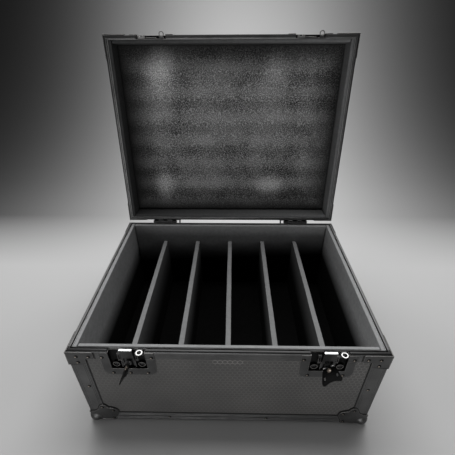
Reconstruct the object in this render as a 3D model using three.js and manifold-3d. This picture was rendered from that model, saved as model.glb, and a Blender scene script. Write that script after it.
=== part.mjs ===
// A flight case for lighting gear: laminated ply walls in aluminium edging, foam lined, with five
// upright dividers, a lid on two stay hinges, two twist latches in dishes and two side handles.
// Lengths are millimetres. X runs along the front, Y towards the back and Z up, with the origin in the
// middle of the underside of the base. The lid stands open and the latches are turned out.
import * as THREE from "three";
import { mergeVertices } from "three/addons/utils/BufferGeometryUtils.js";
import Module from "manifold-3d";

const wasm = await Module();
wasm.setup();

// Overall sizes
const caseWidth = 640;
const caseDepth = 500;
const baseHeight = 248;
const lidHeight = 75;
const lidOpenAngle = THREE.MathUtils.degToRad(97);

// Clearances
const gap = 0.3; // between pieces that touch or run on each other
const overrun = 4; // how far a cutter runs past what it cuts
const weldTolerance = 0.001; // corners closer than this are one corner

// Walls: ply between an outer and an inner leg of the edging
const skin = 1.5;
const panelFit = 0.25;
const panelThickness = 7;
const panelOuter = skin + panelFit;
const panelInner = panelOuter + panelThickness;
const wall = panelInner + panelFit + skin;

// Edging legs
const edgeLeg = 34;
const railLeg = 26;
const bandHeight = 22;

// Rim profile, measured inwards from the outer face and down from the rim plane
const shoulderWidth = 2.8;
const shoulderHeight = 3;
const grooveStart = 6.8;
const grooveEnd = 9.6;
const grooveDepth = 5.5;
const rimFloor = 8;
const innerLipDrop = 0.6;
const tongueWidth = 1.2;
const tongueReach = 4.5;

// Ball corners and corner braces, pressed from sheet
const plate = 1.5;
const ballRadius = 16;
const ballInset = 8;
const cornerLeg = 64;
const baseLobe = 59;
const lidLobe = 45;
const braceReach = 53.5;
const braceTopDrop = 2.8;
const braceBand = 24;
const baseBraceLeg = 35;
const baseBraceDrop = 41;
const lidBraceLeg = 13;
const lidBraceDrop = 46;
// Outlines of a ball corner's plates, as shares of its leg and its lobe height
const wallLobeShares = [
  [0.13, 0.56],
  [0.3, 0.66],
  [0.4, 0.93],
  [0.5, 1],
  [0.62, 0.93],
  [0.7, 0.79],
  [0.82, 0.77],
  [0.93, 0.7],
  [1, 0.58],
  [1, 0.42],
];
const wallLobeFootShare = 0.87;
const levelLobeShares = [
  [1, 0.16],
  [1, 0.3],
  [0.93, 0.42],
  [0.8, 0.48],
  [0.66, 0.5],
  [0.56, 0.56],
  [0.5, 0.66],
  [0.48, 0.8],
  [0.42, 0.93],
  [0.3, 1],
  [0.16, 1],
];
const wallRivetShares = [
  [0.5, 0.84],
  [0.86, 0.62],
  [0.79, 0.09],
];
const levelRivetShares = [
  [0.85, 0.3],
  [0.3, 0.85],
];

// Rivet heads
const rivetRadius = 3.4;
const rivetCrown = 1.3;
const rivetTopShare = 0.6;
const rivetSides = 6;
const railRivetPlaces = [-137, 90];
const railRivetHeight = 10;
const edgeRivetHeight = 130;
const edgeRivetInset = 20.6;
const braceRivetReach = 43.7;
const braceRivetInset = 19;
const lidBraceRivetInset = 22;
const braceRivetDrop = 15.8;
const braceRivetLow = 33.5;

// Foam
const foamWall = 7.5;
const foamFloor = 10;
const foamTopDrop = 0.5;
const lidPadThickness = 18;
const padCrown = 3;
const padRipple = 1.2;
const padRipplePitch = 64;
const padEdge = 30;
const padColumns = 8;
const padRows = 28;
const dividerThickness = 12;
const dividerDrop = 52;
const dividerCorner = 14;
const dividerCount = 5;

// Latch dishes, measured from the latch centre, the rim plane and the outer face
const latchInset = 120; // from the case's side to the latch centre
const latchHalfWidth = 55;
const latchSheet = 1.2;
const flangeTopDrop = 3.5;
const pocketHalfWidth = 38;
const pocketDepth = 8.2;
const baseDishReach = 74.6;
const baseDishCorner = 18;
const basePocketReach = 54.5;
const lidDishReach = 36;
const lidDishCorner = 8;
const lidPocketReach = 22;
const dishRivetSide = 49.5;
const dishRivetDrop = 17;
const dishRivetEdge = 6.6;
const dishRivetStep = 36;
const boltPlace = 26;
const boltDrop = 39.5;
const boltRadius = 5.5;
const boltCrown = 2.2;

// Padlock eyes
const eyePlace = 27;
const eyeRadius = 6.5;
const eyeHole = 3.6;
const eyeOut = 1.6;
const eyeSheet = 2;
const eyeSink = 0.4;
const strapHalfWidth = 5;
const strapSheet = 1.8;
const strapReach = 20;

// Turning spindle with its cam, and the wing that folds on it
const spindleDrop = 34;
const spindleRadius = 4.5;
const camRadius = 8;
const camThrow = 4;
const camBack = 7.6;
const camFront = 5.2;
const tailRadius = 2.7;
const headRadius = 7;
const headBack = 0.5;
const headFront = 1.4;
const foldOut = 4;
const earSheet = 1.8;
const earPlace = 5.5;
const earRadius = 2.4;
const foldPin = 1;
const wingSheet = 1.5;
const wingBarrel = 2.1;
const wingHalfWidth = 20.5;
const wingLength = 37;
const wingSlotRadius = 2;
const wingSlotLength = 7;
const wingStudRadius = 4.5;
const wingStudCrown = 1.3;
// Half outline of the wing and its slot and stud, as shares of its half width and length
const wingShares = [
  [0.25, 0.09],
  [0.55, 0.12],
  [0.72, 0.22],
  [0.82, 0.45],
  [0.95, 0.7],
  [1, 0.86],
  [0.94, 0.97],
  [0.8, 1],
  [0.62, 0.97],
  [0.35, 0.91],
  [0, 0.89],
];
const wingSlotShares = [0.63, 0.62];
const wingStudShare = 0.24;
const leftTurn = THREE.MathUtils.degToRad(122);
const rightTurn = THREE.MathUtils.degToRad(145);
const fullTurn = THREE.MathUtils.degToRad(180);

// Hook that the cam tips outwards, the lugs that carry it and the keeper that it holds
const hookHalfWidth = 12.5;
const hookLeg = 3.2;
const hookSheet = 1.6;
const hookPlane = 4;
const hookTop = 5;
const hookNose = 2.6;
const hookPivotDrop = 46;
const hookBridgeDrop = 22;
const hookPin = 1.2;
const hookPinReach = 2;
const hookFoot = 2.6;
const lugSheet = 1.8;
const lugRise = 18;
const lugFall = 4;
const lugFront = 1.5;
const fullTilt = THREE.MathUtils.degToRad(9);
const keeperTop = 3;
const keeperBottom = 0.7;
const keeperFront = 5.6;
const guideInner = 15;
const guideOuter = 33;
const guideFront = 0.8;
const guideNotch = 8;

// Stay hinges on the rear face
const hingeInset = 113; // from the case's side to the middle of the hinge
const hingeLength = 72;
const hingeAxisOut = 5;
const knuckleRadius = 4.3;
const knuckleCount = 5;
const pinRadius = 2;
const pinHeadRadius = 3.2;
const pinHead = 1.2;
const hingeSheet = 2;
const leafStart = 5;
const leafEnd = 38;
const leafRivetDrop = 30;
const leafRivetStep = 27;
const stayReach = 13;
const stayInset = 2;
const stayThickness = 3;
const stayBack = 14;
const stayFront = 6;
const stayDrop = 30;

// Side handles
const handleHeight = 132;
const handleHalfWidth = 78;
const handleHalfHeight = 52;
const handleCorner = 14;
const handlePocketHalfWidth = 64;
const handlePocketHalfHeight = 38;
const handleRivetSide = 70;
const handleRivetRise = 44;
const bailHalfWidth = 50;
const bailDrop = 46;
const bailRadius = 3;
const bailPin = 2;
const bailDepth = 3.4;
const bailPivotRise = 26;
const gripRadius = 4.4;
const gripHalfLength = 40;
const earBlock = 7;
const earBlockHalf = 4.5;
const earBlockFront = 0.8;

// Smoothness of round work
const fineSides = 18;
const roundSides = 10;
const ballSides = 16;
const ballRings = 10;
const arcSteps = 4;

// Finishes
const laminate = { color: 0x3c3c3b, roughness: 0.62, metalness: 0 };
const blackAluminium = { color: 0x3a3b3b, roughness: 0.42, metalness: 0.85 };
const blackSteel = { color: 0x333434, roughness: 0.45, metalness: 0.8 };
const chrome = { color: 0xd8dade, roughness: 0.14, metalness: 1 };
const pinSteel = { color: 0x8d9094, roughness: 0.3, metalness: 1 };
const foamGrey = { color: 0x6c6b70, roughness: 0.97, metalness: 0 };
const foamDark = { color: 0x3b3b3d, roughness: 0.98, metalness: 0 };

// Places worked out from the sizes
const halfWidth = caseWidth / 2;
const halfDepth = caseDepth / 2;
const latchPlace = halfWidth - latchInset;
const hingePlace = halfWidth - hingeInset;
const lidTop = baseHeight + lidHeight;
const floorTop = panelInner + gap;
const foamInner = wall + gap + foamWall;
const foamFloorTop = floorTop + foamFloor;
const faceOut = gap + plate;
const origin = new THREE.Vector3(0, 0, 0);
const hingeAxis = new THREE.Vector3(0, halfDepth + hingeAxisOut, baseHeight);

// Turns a closed three.js geometry into a solid that can be joined and cut
function toSolid(geometry) {
  const bare = geometry.index ? geometry.toNonIndexed() : geometry.clone();
  bare.deleteAttribute("normal");
  bare.deleteAttribute("uv");
  const welded = mergeVertices(bare, weldTolerance);
  return new wasm.Manifold(
    new wasm.Mesh({
      numProp: 3,
      vertProperties: new Float32Array(welded.attributes.position.array),
      triVerts: new Uint32Array(welded.index.array),
    }),
  );
}

function toGeometry(solid) {
  const mesh = solid.getMesh();
  const geometry = new THREE.BufferGeometry();
  geometry.setAttribute("position", new THREE.BufferAttribute(mesh.vertProperties, mesh.numProp));
  geometry.setIndex(new THREE.BufferAttribute(mesh.triVerts, 1));
  const flat = geometry.toNonIndexed();
  flat.computeVertexNormals();
  return flat;
}

function join(...solids) {
  return solids.reduce((whole, solid) => whole.add(solid));
}

function cut(solid, ...cutters) {
  return cutters.reduce((left, cutter) => left.subtract(cutter), solid);
}

// Box between two opposite corners, given in any order
function block(x0, x1, y0, y1, z0, z1) {
  const geometry = new THREE.BoxGeometry(Math.abs(x1 - x0), Math.abs(y1 - y0), Math.abs(z1 - z0));
  geometry.translate((x0 + x1) / 2, (y0 + y1) / 2, (z0 + z1) / 2);
  return toSolid(geometry);
}

// Outline pushed square to its plane: "front" takes (x, z) and runs along Y, "side" takes (y, z) and runs
// along X, "level" takes (x, y) and runs along Z
function prism(plane, outline, from, to) {
  const drawn = outline instanceof THREE.Shape;
  const shape = drawn ? outline : new THREE.Shape(outline.map(([a, b]) => new THREE.Vector2(a, b)));
  const depth = Math.abs(to - from);
  const geometry = new THREE.ExtrudeGeometry(shape, { depth, bevelEnabled: false, curveSegments: arcSteps });
  if (plane === "level") return toSolid(geometry.translate(0, 0, Math.min(from, to)));
  geometry.rotateX(Math.PI / 2);
  if (plane === "front") return toSolid(geometry.translate(0, Math.max(from, to), 0));
  geometry.rotateZ(Math.PI / 2);
  return toSolid(geometry.translate(Math.min(from, to), 0, 0));
}

// Rectangle with one radius at its two lower corners and one at its two upper corners
function roundedOutline(left, right, low, high, lowRadius, highRadius) {
  const shape = new THREE.Shape();
  shape.moveTo(left + lowRadius, low);
  shape.lineTo(right - lowRadius, low);
  if (lowRadius > 0) shape.absarc(right - lowRadius, low + lowRadius, lowRadius, -Math.PI / 2, 0, false);
  shape.lineTo(right, high - highRadius);
  if (highRadius > 0) shape.absarc(right - highRadius, high - highRadius, highRadius, 0, Math.PI / 2, false);
  shape.lineTo(left + highRadius, high);
  if (highRadius > 0) shape.absarc(left + highRadius, high - highRadius, highRadius, Math.PI / 2, Math.PI, false);
  shape.lineTo(left, low + lowRadius);
  if (lowRadius > 0) shape.absarc(left + lowRadius, low + lowRadius, lowRadius, Math.PI, Math.PI * 1.5, false);
  return shape;
}

// Round bar along an axis. (a, b) is its centre in the other two axes, in X, Y, Z order
function rod(axis, a, b, from, to, radius, facets, endRadius = radius) {
  const geometry = new THREE.CylinderGeometry(endRadius, radius, Math.abs(to - from), facets);
  const middle = (from + to) / 2;
  if (to < from) geometry.rotateX(Math.PI);
  if (axis === "y") return toSolid(geometry.translate(a, middle, b));
  if (axis === "x") return toSolid(geometry.rotateZ(-Math.PI / 2).translate(middle, a, b));
  return toSolid(geometry.rotateX(Math.PI / 2).translate(a, b, middle));
}

// Domed head standing on the face at height "face", which looks towards "outward" along the axis
function rivet(axis, a, b, face, outward) {
  const from = face - (outward * plate) / 2;
  const to = face + outward * rivetCrown;
  return rod(axis, a, b, from, to, rivetRadius, rivetSides, rivetRadius * rivetTopShare);
}

// Closed frame of one section with mitred corners. The section's points are (inset from the outer face,
// height). A four-sided lathe makes it, and its corners are then moved out to the rectangle.
function frameRing(section) {
  const reach = caseWidth;
  const points = section.map(([inset, height]) => new THREE.Vector2(reach - inset, height));
  if (THREE.ShapeUtils.area(points) < 0) points.reverse();
  points.push(points[0].clone());
  const geometry = new THREE.LatheGeometry(points, 4, Math.PI / 4);
  geometry.rotateX(Math.PI / 2);
  const corners = geometry.attributes.position;
  for (let i = 0; i < corners.count; i += 1) {
    const x = corners.getX(i);
    const y = corners.getY(i);
    const inset = reach - Math.hypot(x, y);
    corners.setXYZ(i, Math.sign(x) * (halfWidth - inset), Math.sign(y) * (halfDepth - inset), corners.getZ(i));
  }
  return toSolid(geometry);
}

// Group that turns about a pivot. What it holds is still modelled in the closed case's own places
function makePivot(parent, pivot) {
  const group = new THREE.Group();
  group.userData.pivot = pivot;
  if (parent) {
    group.position.copy(pivot).sub(parent.userData.pivot);
    parent.add(group);
  }
  return group;
}

const caseGroup = makePivot(null, origin);
const lidGroup = makePivot(caseGroup, hingeAxis);
lidGroup.rotation.x = -lidOpenAngle;

function addPiece(name, solid, finish, group = caseGroup) {
  const geometry = toGeometry(solid);
  const { x, y, z } = group.userData.pivot;
  geometry.translate(-x, -y, -z);
  const mesh = new THREE.Mesh(geometry, new THREE.MeshStandardMaterial(finish));
  mesh.name = name;
  group.add(mesh);
}

const sides = [
  ["left", -1],
  ["right", 1],
];
const ends = [
  ["front", -1],
  ["rear", 1],
];

// The base and the lid, which mirror each other about the rim plane. "up" points from the rim plane into
// the half, and "outer" is the height of the level face that it closes with
const baseHalf = { name: "base", group: caseGroup, up: -1, outer: 0 };
const lidHalf = { name: "lid", group: lidGroup, up: 1, outer: lidTop };
const halves = [baseHalf, lidHalf];

// Height of a place that lies some way from the rim plane into a half
function fromRim(half, distance) {
  return baseHeight + half.up * distance;
}

// Height of a place that lies some way in from a half's level outer face
function fromOuter(half, distance) {
  return half.outer - half.up * distance;
}

// Places measured inwards from the outer faces on one side and one end
function inX(side, inset) {
  return side * (halfWidth - inset);
}

function inY(end, inset) {
  return end * (halfDepth - inset);
}

// Room for the two latches in a half, from the outer face inwards to "depth"
function latchCutters(half, depth, reach) {
  return sides.map(([, side]) =>
    block(
      side * latchPlace - pocketHalfWidth - gap,
      side * latchPlace + pocketHalfWidth + gap,
      inY(-1, -overrun),
      inY(-1, depth),
      fromRim(half, -overrun - tongueReach),
      fromRim(half, reach + gap),
    ),
  );
}

function buildPanels() {
  const acrossX = halfWidth - panelInner - gap;
  const wallTop = baseHeight - rimFloor - gap;
  const latchRoom = latchCutters(baseHalf, wall, basePocketReach);
  const floor = block(
    -inX(1, panelOuter),
    inX(1, panelOuter),
    -inY(1, panelOuter),
    inY(1, panelOuter),
    panelOuter,
    panelInner,
  );
  addPiece("floor_panel", floor, laminate);
  for (const [name, end] of ends) {
    const panel = block(-acrossX, acrossX, inY(end, panelOuter), inY(end, panelInner), floorTop, wallTop);
    addPiece(name + "_panel", end < 0 ? cut(panel, ...latchRoom) : panel, laminate);
  }
  for (const [name, side] of sides) {
    const panel = block(
      inX(side, panelOuter),
      inX(side, panelInner),
      -inY(1, panelOuter),
      inY(1, panelOuter),
      floorTop,
      wallTop,
    );
    const room = block(
      inX(side, -overrun),
      inX(side, wall),
      -handlePocketHalfWidth - gap,
      handlePocketHalfWidth + gap,
      handleHeight - handlePocketHalfHeight - gap,
      handleHeight + handlePocketHalfHeight + gap,
    );
    addPiece(name + "_panel", cut(panel, room), laminate);
  }
  const lidPanel = block(
    -inX(1, panelOuter),
    inX(1, panelOuter),
    -inY(1, panelOuter),
    inY(1, panelOuter),
    lidTop - panelOuter,
    lidTop - panelInner,
  );
  addPiece("lid_panel", lidPanel, laminate, lidGroup);
  const lidWalls = frameRing([
    [panelOuter, baseHeight + rimFloor + gap],
    [panelInner, baseHeight + rimFloor + gap],
    [panelInner, lidTop - floorTop],
    [panelOuter, lidTop - floorTop],
  ]);
  addPiece("lid_walls", cut(lidWalls, ...latchCutters(lidHalf, wall, lidPocketReach)), laminate, lidGroup);
}

function buildEdging() {
  for (const half of halves) {
    const rail = frameRing([
      [0, fromOuter(half, 0)],
      [railLeg, fromOuter(half, 0)],
      [railLeg, fromOuter(half, skin)],
      [skin, fromOuter(half, skin)],
      [skin, fromOuter(half, railLeg)],
      [0, fromOuter(half, railLeg)],
    ]);
    const heads = ends.flatMap(([, end]) =>
      railRivetPlaces.map((place) => rivet("y", place, fromOuter(half, railRivetHeight), inY(end, 0), end)),
    );
    const name = half === baseHalf ? "base_bottom_rail" : "lid_top_rail";
    addPiece(name, join(rail, ...heads), blackAluminium, half.group);
  }
  for (const [endName, end] of ends) {
    for (const [sideName, side] of sides) {
      const outline = [
        [0, 0],
        [edgeLeg, 0],
        [edgeLeg, skin],
        [skin, skin],
        [skin, edgeLeg],
        [0, edgeLeg],
      ].map(([u, v]) => [inX(side, u), inY(end, v)]);
      const angle = prism("level", outline, railLeg + gap, baseHeight - bandHeight - gap);
      const heads = [
        rivet("y", inX(side, edgeRivetInset), edgeRivetHeight, inY(end, 0), end),
        rivet("x", inY(end, edgeRivetInset), edgeRivetHeight, inX(side, 0), side),
      ];
      addPiece(`${endName}_${sideName}_edge`, join(angle, ...heads), blackAluminium);
    }
  }
}

// Rims that close on each other: the base's has the groove and the lid's has the tongue
function buildRims() {
  const down = (drop) => baseHeight - drop;
  const baseRim = frameRing([
    [0, down(bandHeight)],
    [0, down(shoulderHeight)],
    [shoulderWidth, down(0)],
    [grooveStart, down(0)],
    [grooveStart, down(grooveDepth)],
    [grooveEnd, down(grooveDepth)],
    [grooveEnd, down(innerLipDrop)],
    [wall, down(innerLipDrop)],
    [wall, down(bandHeight)],
    [wall - skin, down(bandHeight)],
    [wall - skin, down(rimFloor)],
    [skin, down(rimFloor)],
    [skin, down(bandHeight)],
  ]);
  const dishBack = pocketDepth + latchSheet + gap;
  addPiece("base_rim", cut(baseRim, ...latchCutters(baseHalf, dishBack, bandHeight)), blackAluminium);
  const up = (rise) => baseHeight + rise;
  const tongueStart = grooveStart + gap;
  const lidRim = frameRing([
    [0, up(bandHeight)],
    [0, up(gap + shoulderHeight)],
    [shoulderWidth, up(gap)],
    [tongueStart, up(gap)],
    [tongueStart, up(-tongueReach)],
    [tongueStart + tongueWidth, up(-tongueReach)],
    [tongueStart + tongueWidth, up(gap)],
    [wall, up(gap)],
    [wall, up(bandHeight)],
    [wall - skin, up(bandHeight)],
    [wall - skin, up(rimFloor)],
    [skin, up(rimFloor)],
    [skin, up(bandHeight)],
  ]);
  addPiece("lid_rim", cut(lidRim, ...latchCutters(lidHalf, dishBack, bandHeight)), blackAluminium, lidGroup);
}

// One ball corner: a plate on each of the three faces, joined by the ball over the case's tip
function ballCorner(half, side, end) {
  const x = (inset) => inX(side, inset);
  const y = (inset) => inY(end, inset);
  const z = (inset) => fromOuter(half, inset);
  const lobe = half === baseHalf ? baseLobe : lidLobe;
  const wallPoints = [
    [-faceOut, -faceOut],
    [-faceOut, wallLobeShares[0][1] * lobe],
    ...wallLobeShares.map(([u, w]) => [u * cornerLeg, w * lobe]),
    [wallLobeFootShare * cornerLeg, -faceOut],
  ];
  const levelPoints = [
    [-faceOut, -faceOut],
    [wallLobeFootShare * cornerLeg, -faceOut],
    ...levelLobeShares.map(([u, v]) => [u * cornerLeg, v * cornerLeg]),
    [-faceOut, wallLobeFootShare * cornerLeg],
  ];
  const plates = join(
    prism("front", wallPoints.map(([u, w]) => [x(u), z(w)]), y(-gap), y(-faceOut)),
    prism("side", wallPoints.map(([v, w]) => [y(v), z(w)]), x(-gap), x(-faceOut)),
    prism("level", levelPoints.map(([u, v]) => [x(u), y(v)]), z(-gap), z(-faceOut)),
  );
  const bare = ballInset - plate;
  const tipRoom = block(x(-overrun), x(bare), y(-overrun), y(bare), z(-overrun), z(bare));
  const under = block(x(-gap), x(cornerLeg), y(-gap), y(cornerLeg), z(-gap), z(cornerLeg));
  const ball = new THREE.SphereGeometry(ballRadius, ballSides, ballRings);
  ball.rotateX(Math.PI / 2);
  ball.translate(x(ballInset), y(ballInset), z(ballInset));
  const shell = cut(toSolid(ball), under);
  const heads = [
    ...wallRivetShares.map(([u, w]) => rivet("y", x(u * cornerLeg), z(w * lobe), y(-faceOut), end)),
    ...wallRivetShares.map(([v, w]) => rivet("x", y(v * cornerLeg), z(w * lobe), x(-faceOut), side)),
    ...levelRivetShares.map(([u, v]) => rivet("z", x(u * cornerLeg), y(v * cornerLeg), z(-faceOut), half.up)),
  ];
  return join(cut(plates, tipRoom), shell, ...heads);
}

// One brace: an angled plate over the rim band at a corner, with a leg along the upright edge
function cornerBrace(half, side, end) {
  const isBase = half === baseHalf;
  const leg = isBase ? baseBraceLeg : lidBraceLeg;
  const drop = isBase ? baseBraceDrop : lidBraceDrop;
  const points = [
    [-faceOut, braceTopDrop],
    [braceReach, braceTopDrop],
    [braceReach, braceBand],
    [leg, braceBand],
    [leg, drop],
    [-faceOut, drop],
  ];
  const lowInset = isBase ? braceRivetInset : leg / 2;
  const places = [
    [isBase ? braceRivetInset : lidBraceRivetInset, braceRivetDrop],
    [braceRivetReach, braceRivetDrop],
    [lowInset, braceRivetLow],
  ];
  const frontFace = inY(end, -faceOut);
  const sideFace = inX(side, -faceOut);
  return join(
    prism("front", points.map(([u, d]) => [inX(side, u), fromRim(half, d)]), inY(end, -gap), frontFace),
    prism("side", points.map(([v, d]) => [inY(end, v), fromRim(half, d)]), inX(side, -gap), sideFace),
    ...places.map(([u, d]) => rivet("y", inX(side, u), fromRim(half, d), frontFace, end)),
    ...places.map(([v, d]) => rivet("x", inY(end, v), fromRim(half, d), sideFace, side)),
  );
}

function buildCorners() {
  for (const half of halves) {
    for (const [endName, end] of ends) {
      for (const [sideName, side] of sides) {
        const place = `${half.name}_${endName}_${sideName}`;
        addPiece(place + "_ball_corner", ballCorner(half, side, end), blackSteel, half.group);
        addPiece(place + "_brace", cornerBrace(half, side, end), blackSteel, half.group);
      }
    }
  }
}

function buildFoam() {
  const liner = (low, high) =>
    frameRing([
      [wall + gap, low],
      [foamInner, low],
      [foamInner, high],
      [wall + gap, high],
    ]);
  const innerX = halfWidth - foamInner;
  const innerY = halfDepth - foamInner;
  const padX = innerX - gap;
  const padY = innerY - gap;
  addPiece("base_wall_foam", liner(floorTop, baseHeight - foamTopDrop), foamGrey);
  addPiece("base_floor_foam", block(-padX, padX, -padY, padY, floorTop, foamFloorTop), foamDark);
  addPiece("lid_wall_foam", liner(baseHeight + foamTopDrop, lidTop - floorTop), foamGrey, lidGroup);
  addPiece("lid_foam_pad", lidPad(padX, padY), foamDark, lidGroup);
  const low = foamFloorTop + gap;
  const high = baseHeight - dividerDrop;
  const outline = roundedOutline(-padY, padY, low, high, 0, dividerCorner);
  const bay = (2 * innerX - dividerCount * dividerThickness) / (dividerCount + 1);
  for (let i = 0; i < dividerCount; i += 1) {
    const start = -innerX + (i + 1) * bay + i * dividerThickness;
    addPiece(`divider_${i + 1}`, prism("side", outline, start, start + dividerThickness), foamGrey);
  }
}

// Thick foam under the lid's panel, with a low crown, drawn-in sides and soft ripples across it
function lidPad(halfX, halfY) {
  const geometry = new THREE.BoxGeometry(2 * halfX, 2 * halfY, lidPadThickness, padColumns, padRows, 1);
  const points = geometry.attributes.position;
  for (let i = 0; i < points.count; i += 1) {
    // The columns crowd towards the sides, where the pad draws in
    const x = Math.sin((points.getX(i) / halfX) * (Math.PI / 2)) * halfX;
    const y = points.getY(i);
    points.setX(i, x);
    if (points.getZ(i) > 0) continue;
    const fromEdge = Math.min(halfX - Math.abs(x), halfY - Math.abs(y));
    const fullness = THREE.MathUtils.smoothstep(fromEdge, 0, padEdge);
    const ripple = Math.cos((2 * Math.PI * y) / padRipplePitch) * padRipple;
    points.setZ(i, points.getZ(i) - fullness * (padCrown + ripple));
  }
  geometry.translate(0, 0, lidTop - floorTop - lidPadThickness / 2);
  return toSolid(geometry);
}

// Pressed dish let into the front: a flange that steps over the rim band, and a pocket open at the rim
function latchDish(half, centre) {
  const isBase = half === baseHalf;
  const reach = isBase ? baseDishReach : lidDishReach;
  const pocketReach = isBase ? basePocketReach : lidPocketReach;
  const corner = isBase ? baseDishCorner : lidDishCorner;
  const x = (offset) => centre + offset;
  const y = (inset) => inY(-1, inset);
  const z = (distance) => fromRim(half, distance);
  const step = bandHeight + gap;
  const lowFlange = isBase
    ? roundedOutline(x(-latchHalfWidth), x(latchHalfWidth), z(reach), z(step), corner, 0)
    : roundedOutline(x(-latchHalfWidth), x(latchHalfWidth), z(step), z(reach), 0, corner);
  const flange = join(
    block(
      x(-latchHalfWidth),
      x(latchHalfWidth),
      y(-gap),
      y(-gap - latchSheet),
      z(flangeTopDrop),
      z(step + latchSheet),
    ),
    block(
      x(-latchHalfWidth),
      x(latchHalfWidth),
      y(panelOuter - gap),
      y(-gap - latchSheet),
      z(step),
      z(step + latchSheet),
    ),
    prism("front", lowFlange, y(panelOuter - gap), y(panelOuter - gap - latchSheet)),
  );
  const pan = block(
    x(-pocketHalfWidth),
    x(pocketHalfWidth),
    y(-gap),
    y(pocketDepth + latchSheet),
    z(flangeTopDrop),
    z(pocketReach),
  );
  const hollow = block(
    x(latchSheet - pocketHalfWidth),
    x(pocketHalfWidth - latchSheet),
    y(-overrun),
    y(pocketDepth),
    z(flangeTopDrop - overrun),
    z(pocketReach - latchSheet),
  );
  const flangeFace = y(-gap - latchSheet);
  const lowFace = y(panelOuter - gap - latchSheet);
  const rivetRow = z(reach - dishRivetEdge);
  const heads = [
    rivet("y", x(-dishRivetSide), z(dishRivetDrop), flangeFace, -1),
    rivet("y", x(dishRivetSide), z(dishRivetDrop), flangeFace, -1),
    rivet("y", x(-dishRivetStep), rivetRow, lowFace, -1),
    rivet("y", x(0), rivetRow, lowFace, -1),
    rivet("y", x(dishRivetStep), rivetRow, lowFace, -1),
  ];
  return join(cut(join(flange, pan), hollow), ...heads);
}

// Level ring for a padlock, on a strap down the back of the dish
function padlockEye(half, centre) {
  const middle = centre + eyePlace;
  const y = (inset) => inY(-1, inset);
  const low = fromRim(half, eyeSink);
  const high = fromRim(half, eyeSink + eyeSheet);
  const tab = join(
    rod("z", middle, y(-eyeOut), low, high, eyeRadius, fineSides),
    block(middle - strapHalfWidth, middle + strapHalfWidth, y(-eyeOut), y(pocketDepth), low, high),
  );
  const hole = rod("z", middle, y(-eyeOut), low - overrun, high + overrun, eyeHole, fineSides);
  const strap = block(
    middle - strapHalfWidth,
    middle + strapHalfWidth,
    y(pocketDepth - strapSheet),
    y(pocketDepth),
    low,
    fromRim(half, strapReach),
  );
  return join(cut(tab, hole), strap);
}

function baseDish(centre) {
  const y = (inset) => inY(-1, inset);
  const z = (drop) => baseHeight - drop;
  const lugInner = hookHalfWidth + gap;
  const lugs = [-1, 1].map((hand) =>
    cut(
      block(
        centre + hand * lugInner,
        centre + hand * (lugInner + lugSheet),
        y(lugFront),
        y(pocketDepth),
        z(hookPivotDrop + lugFall),
        z(hookPivotDrop - lugRise),
      ),
      rod(
        "x",
        y(hookPlane),
        z(hookPivotDrop),
        centre + hand * hookHalfWidth,
        centre + hand * (lugInner + lugSheet + overrun),
        hookPin + gap,
        roundSides,
      ),
    ),
  );
  const bolts = [-1, 1].map((hand) =>
    rod(
      "y",
      centre + hand * boltPlace,
      z(boltDrop),
      y(pocketDepth),
      y(pocketDepth - boltCrown),
      boltRadius,
      roundSides,
    ),
  );
  const tailHole = rod(
    "y",
    centre,
    z(spindleDrop),
    y(pocketDepth - overrun),
    y(pocketDepth + latchSheet + overrun),
    tailRadius + gap,
    roundSides,
  );
  const dish = cut(latchDish(baseHalf, centre), tailHole);
  return join(dish, padlockEye(baseHalf, centre), ...lugs, ...bolts);
}

// The lid's dish carries the keeper that the hook pulls on, and a notched guide tab beside it
function lidDish(centre) {
  const y = (inset) => inY(-1, inset);
  const z = (rise) => baseHeight + rise;
  const back = pocketDepth + latchSheet;
  const seat = flangeTopDrop + latchSheet;
  const keeperHalf = hookHalfWidth + hookPinReach / 2;
  const tabMiddle = centre - (guideInner + guideOuter) / 2;
  return join(
    latchDish(lidHalf, centre),
    padlockEye(lidHalf, centre),
    block(centre - keeperHalf, centre + keeperHalf, y(keeperFront), y(back), z(keeperBottom), z(keeperTop)),
    block(centre - keeperHalf, centre + keeperHalf, y(pocketDepth), y(back), z(keeperBottom), z(seat)),
    cut(
      block(centre - guideOuter, centre - guideInner, y(guideFront), y(back), z(keeperBottom), z(keeperTop)),
      block(
        tabMiddle - guideNotch / 2,
        tabMiddle + guideNotch / 2,
        y(-overrun),
        y(guideFront + guideNotch / 2),
        z(-overrun),
        z(overrun),
      ),
    ),
    block(centre - guideOuter, centre - guideInner, y(pocketDepth), y(back), z(keeperBottom), z(seat)),
  );
}

// Spindle with the cam behind the hook and two ears that carry the wing
function latchSpindle(centre) {
  const y = (inset) => inY(-1, inset);
  const z = baseHeight - spindleDrop;
  const ears = [-1, 1].flatMap((hand) => {
    const from = centre + hand * earPlace;
    const to = centre + hand * (earPlace + earSheet);
    return [
      block(from, to, y(-headBack), y(-foldOut), z - earRadius, z + earRadius),
      rod("x", y(-foldOut), z, from, to, earRadius, roundSides),
    ];
  });
  return join(
    rod("y", centre, z, y(pocketDepth + latchSheet), y(camBack), tailRadius, roundSides),
    rod("y", centre, z - camThrow, y(camBack), y(camFront), camRadius, fineSides),
    rod("y", centre, z, y(camBack), y(-headFront), spindleRadius, roundSides),
    rod("y", centre, z, y(-headBack), y(-headFront), headRadius, fineSides),
    ...ears,
    rod("x", y(-foldOut), z, centre - earPlace - earSheet, centre + earPlace + earSheet, foldPin, roundSides),
  );
}

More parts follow.
